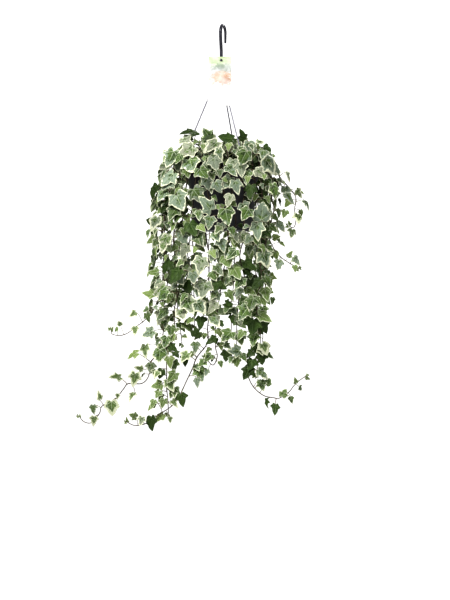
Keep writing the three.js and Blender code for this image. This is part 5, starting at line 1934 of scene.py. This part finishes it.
# Operators
class IVY_OT_stage(bpy.types.Operator):
    """Set up the floor, the lights and the camera"""

    bl_idname = "ivy.stage"
    bl_label = "Stage"

    def execute(self, context):
        build_stage(context.scene.ivy_stage)
        return {"FINISHED"}


class IVY_OT_pot(bpy.types.Operator):
    """Build the moulded pot"""

    bl_idname = "ivy.pot"
    bl_label = "Pot"

    def execute(self, context):
        build_pot(context.scene.ivy_pot)
        return {"FINISHED"}


class IVY_OT_soil(bpy.types.Operator):
    """Fill the pot with potting mix"""

    bl_idname = "ivy.soil"
    bl_label = "Potting mix"

    def execute(self, context):
        build_soil(context.scene.ivy_pot)
        return {"FINISHED"}


class IVY_OT_hanger(bpy.types.Operator):
    """Build the hook with its stem, hub and peg"""

    bl_idname = "ivy.hanger"
    bl_label = "Hook hanger"

    def execute(self, context):
        build_hanger(context.scene.ivy_hanger)
        return {"FINISHED"}


class IVY_OT_strands(bpy.types.Operator):
    """Build the three strands that carry the pot"""

    bl_idname = "ivy.strands"
    bl_label = "Strands"

    def execute(self, context):
        tints = context.scene.ivy_hanger
        finish = plastic_material("strand_plastic", tints.strand, tints.strand_dust_and_sheen, 0.4, 300.0)
        for name, turn in STRAND_TURNS.items():
            build_strand(name, turn, finish)
        return {"FINISHED"}


class IVY_OT_tag(bpy.types.Operator):
    """Build the card tag on its peg"""

    bl_idname = "ivy.tag"
    bl_label = "Tag"

    def execute(self, context):
        build_tag(context.scene.ivy_hanger)
        return {"FINISHED"}


class IVY_OT_trailing(bpy.types.Operator):
    """Build the trailing stems with their leaves"""

    bl_idname = "ivy.trailing"
    bl_label = "Trailing stems"

    def execute(self, context):
        build_stems([entry["name"] for entry in VINES], context.scene.ivy_plant)
        return {"FINISHED"}


class IVY_OT_crown(bpy.types.Operator):
    """Build the short stems that stand over the pot"""

    bl_idname = "ivy.crown"
    bl_label = "Crown"

    def execute(self, context):
        build_stems([entry["name"] for entry in SPRIGS], context.scene.ivy_plant)
        return {"FINISHED"}


OPERATORS = (
    IVY_OT_stage, IVY_OT_pot, IVY_OT_soil, IVY_OT_hanger, IVY_OT_strands, IVY_OT_tag,
    IVY_OT_trailing, IVY_OT_crown,
)
SETTINGS = {
    "ivy_plant": IvyPlantSettings,
    "ivy_stem": IvyStemSettings,
    "ivy_pot": IvyPotSettings,
    "ivy_hanger": IvyHangerSettings,
    "ivy_stage": IvyStageSettings,
}


class IVY_PT_panel(bpy.types.Panel):
    """Buttons and settings of the ivy"""

    bl_label = "Potted ivy"
    bl_idname = "IVY_PT_panel"
    bl_space_type = "VIEW_3D"
    bl_region_type = "UI"
    bl_category = "Ivy"

    def draw(self, context):
        for operator in OPERATORS:
            self.layout.operator(operator.bl_idname)
        for name, group in SETTINGS.items():
            box = self.layout.box()
            for key in group.__annotations__:
                box.prop(getattr(context.scene, name), key)


def register():
    for group in SETTINGS.values():
        bpy.utils.register_class(group)
    for name, group in SETTINGS.items():
        setattr(bpy.types.Scene, name, PointerProperty(type=group))
    for operator in OPERATORS:
        bpy.utils.register_class(operator)
    bpy.utils.register_class(IVY_PT_panel)


def unregister():
    bpy.utils.unregister_class(IVY_PT_panel)
    for operator in reversed(OPERATORS):
        bpy.utils.unregister_class(operator)
    for name, group in SETTINGS.items():
        delattr(bpy.types.Scene, name)
        bpy.utils.unregister_class(group)


def main():
    register()
    for step in ("stage", "pot", "soil", "hanger", "strands", "tag", "trailing", "crown"):
        getattr(bpy.ops.ivy, step)()
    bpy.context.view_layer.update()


if __name__ == "__main__":
    main()
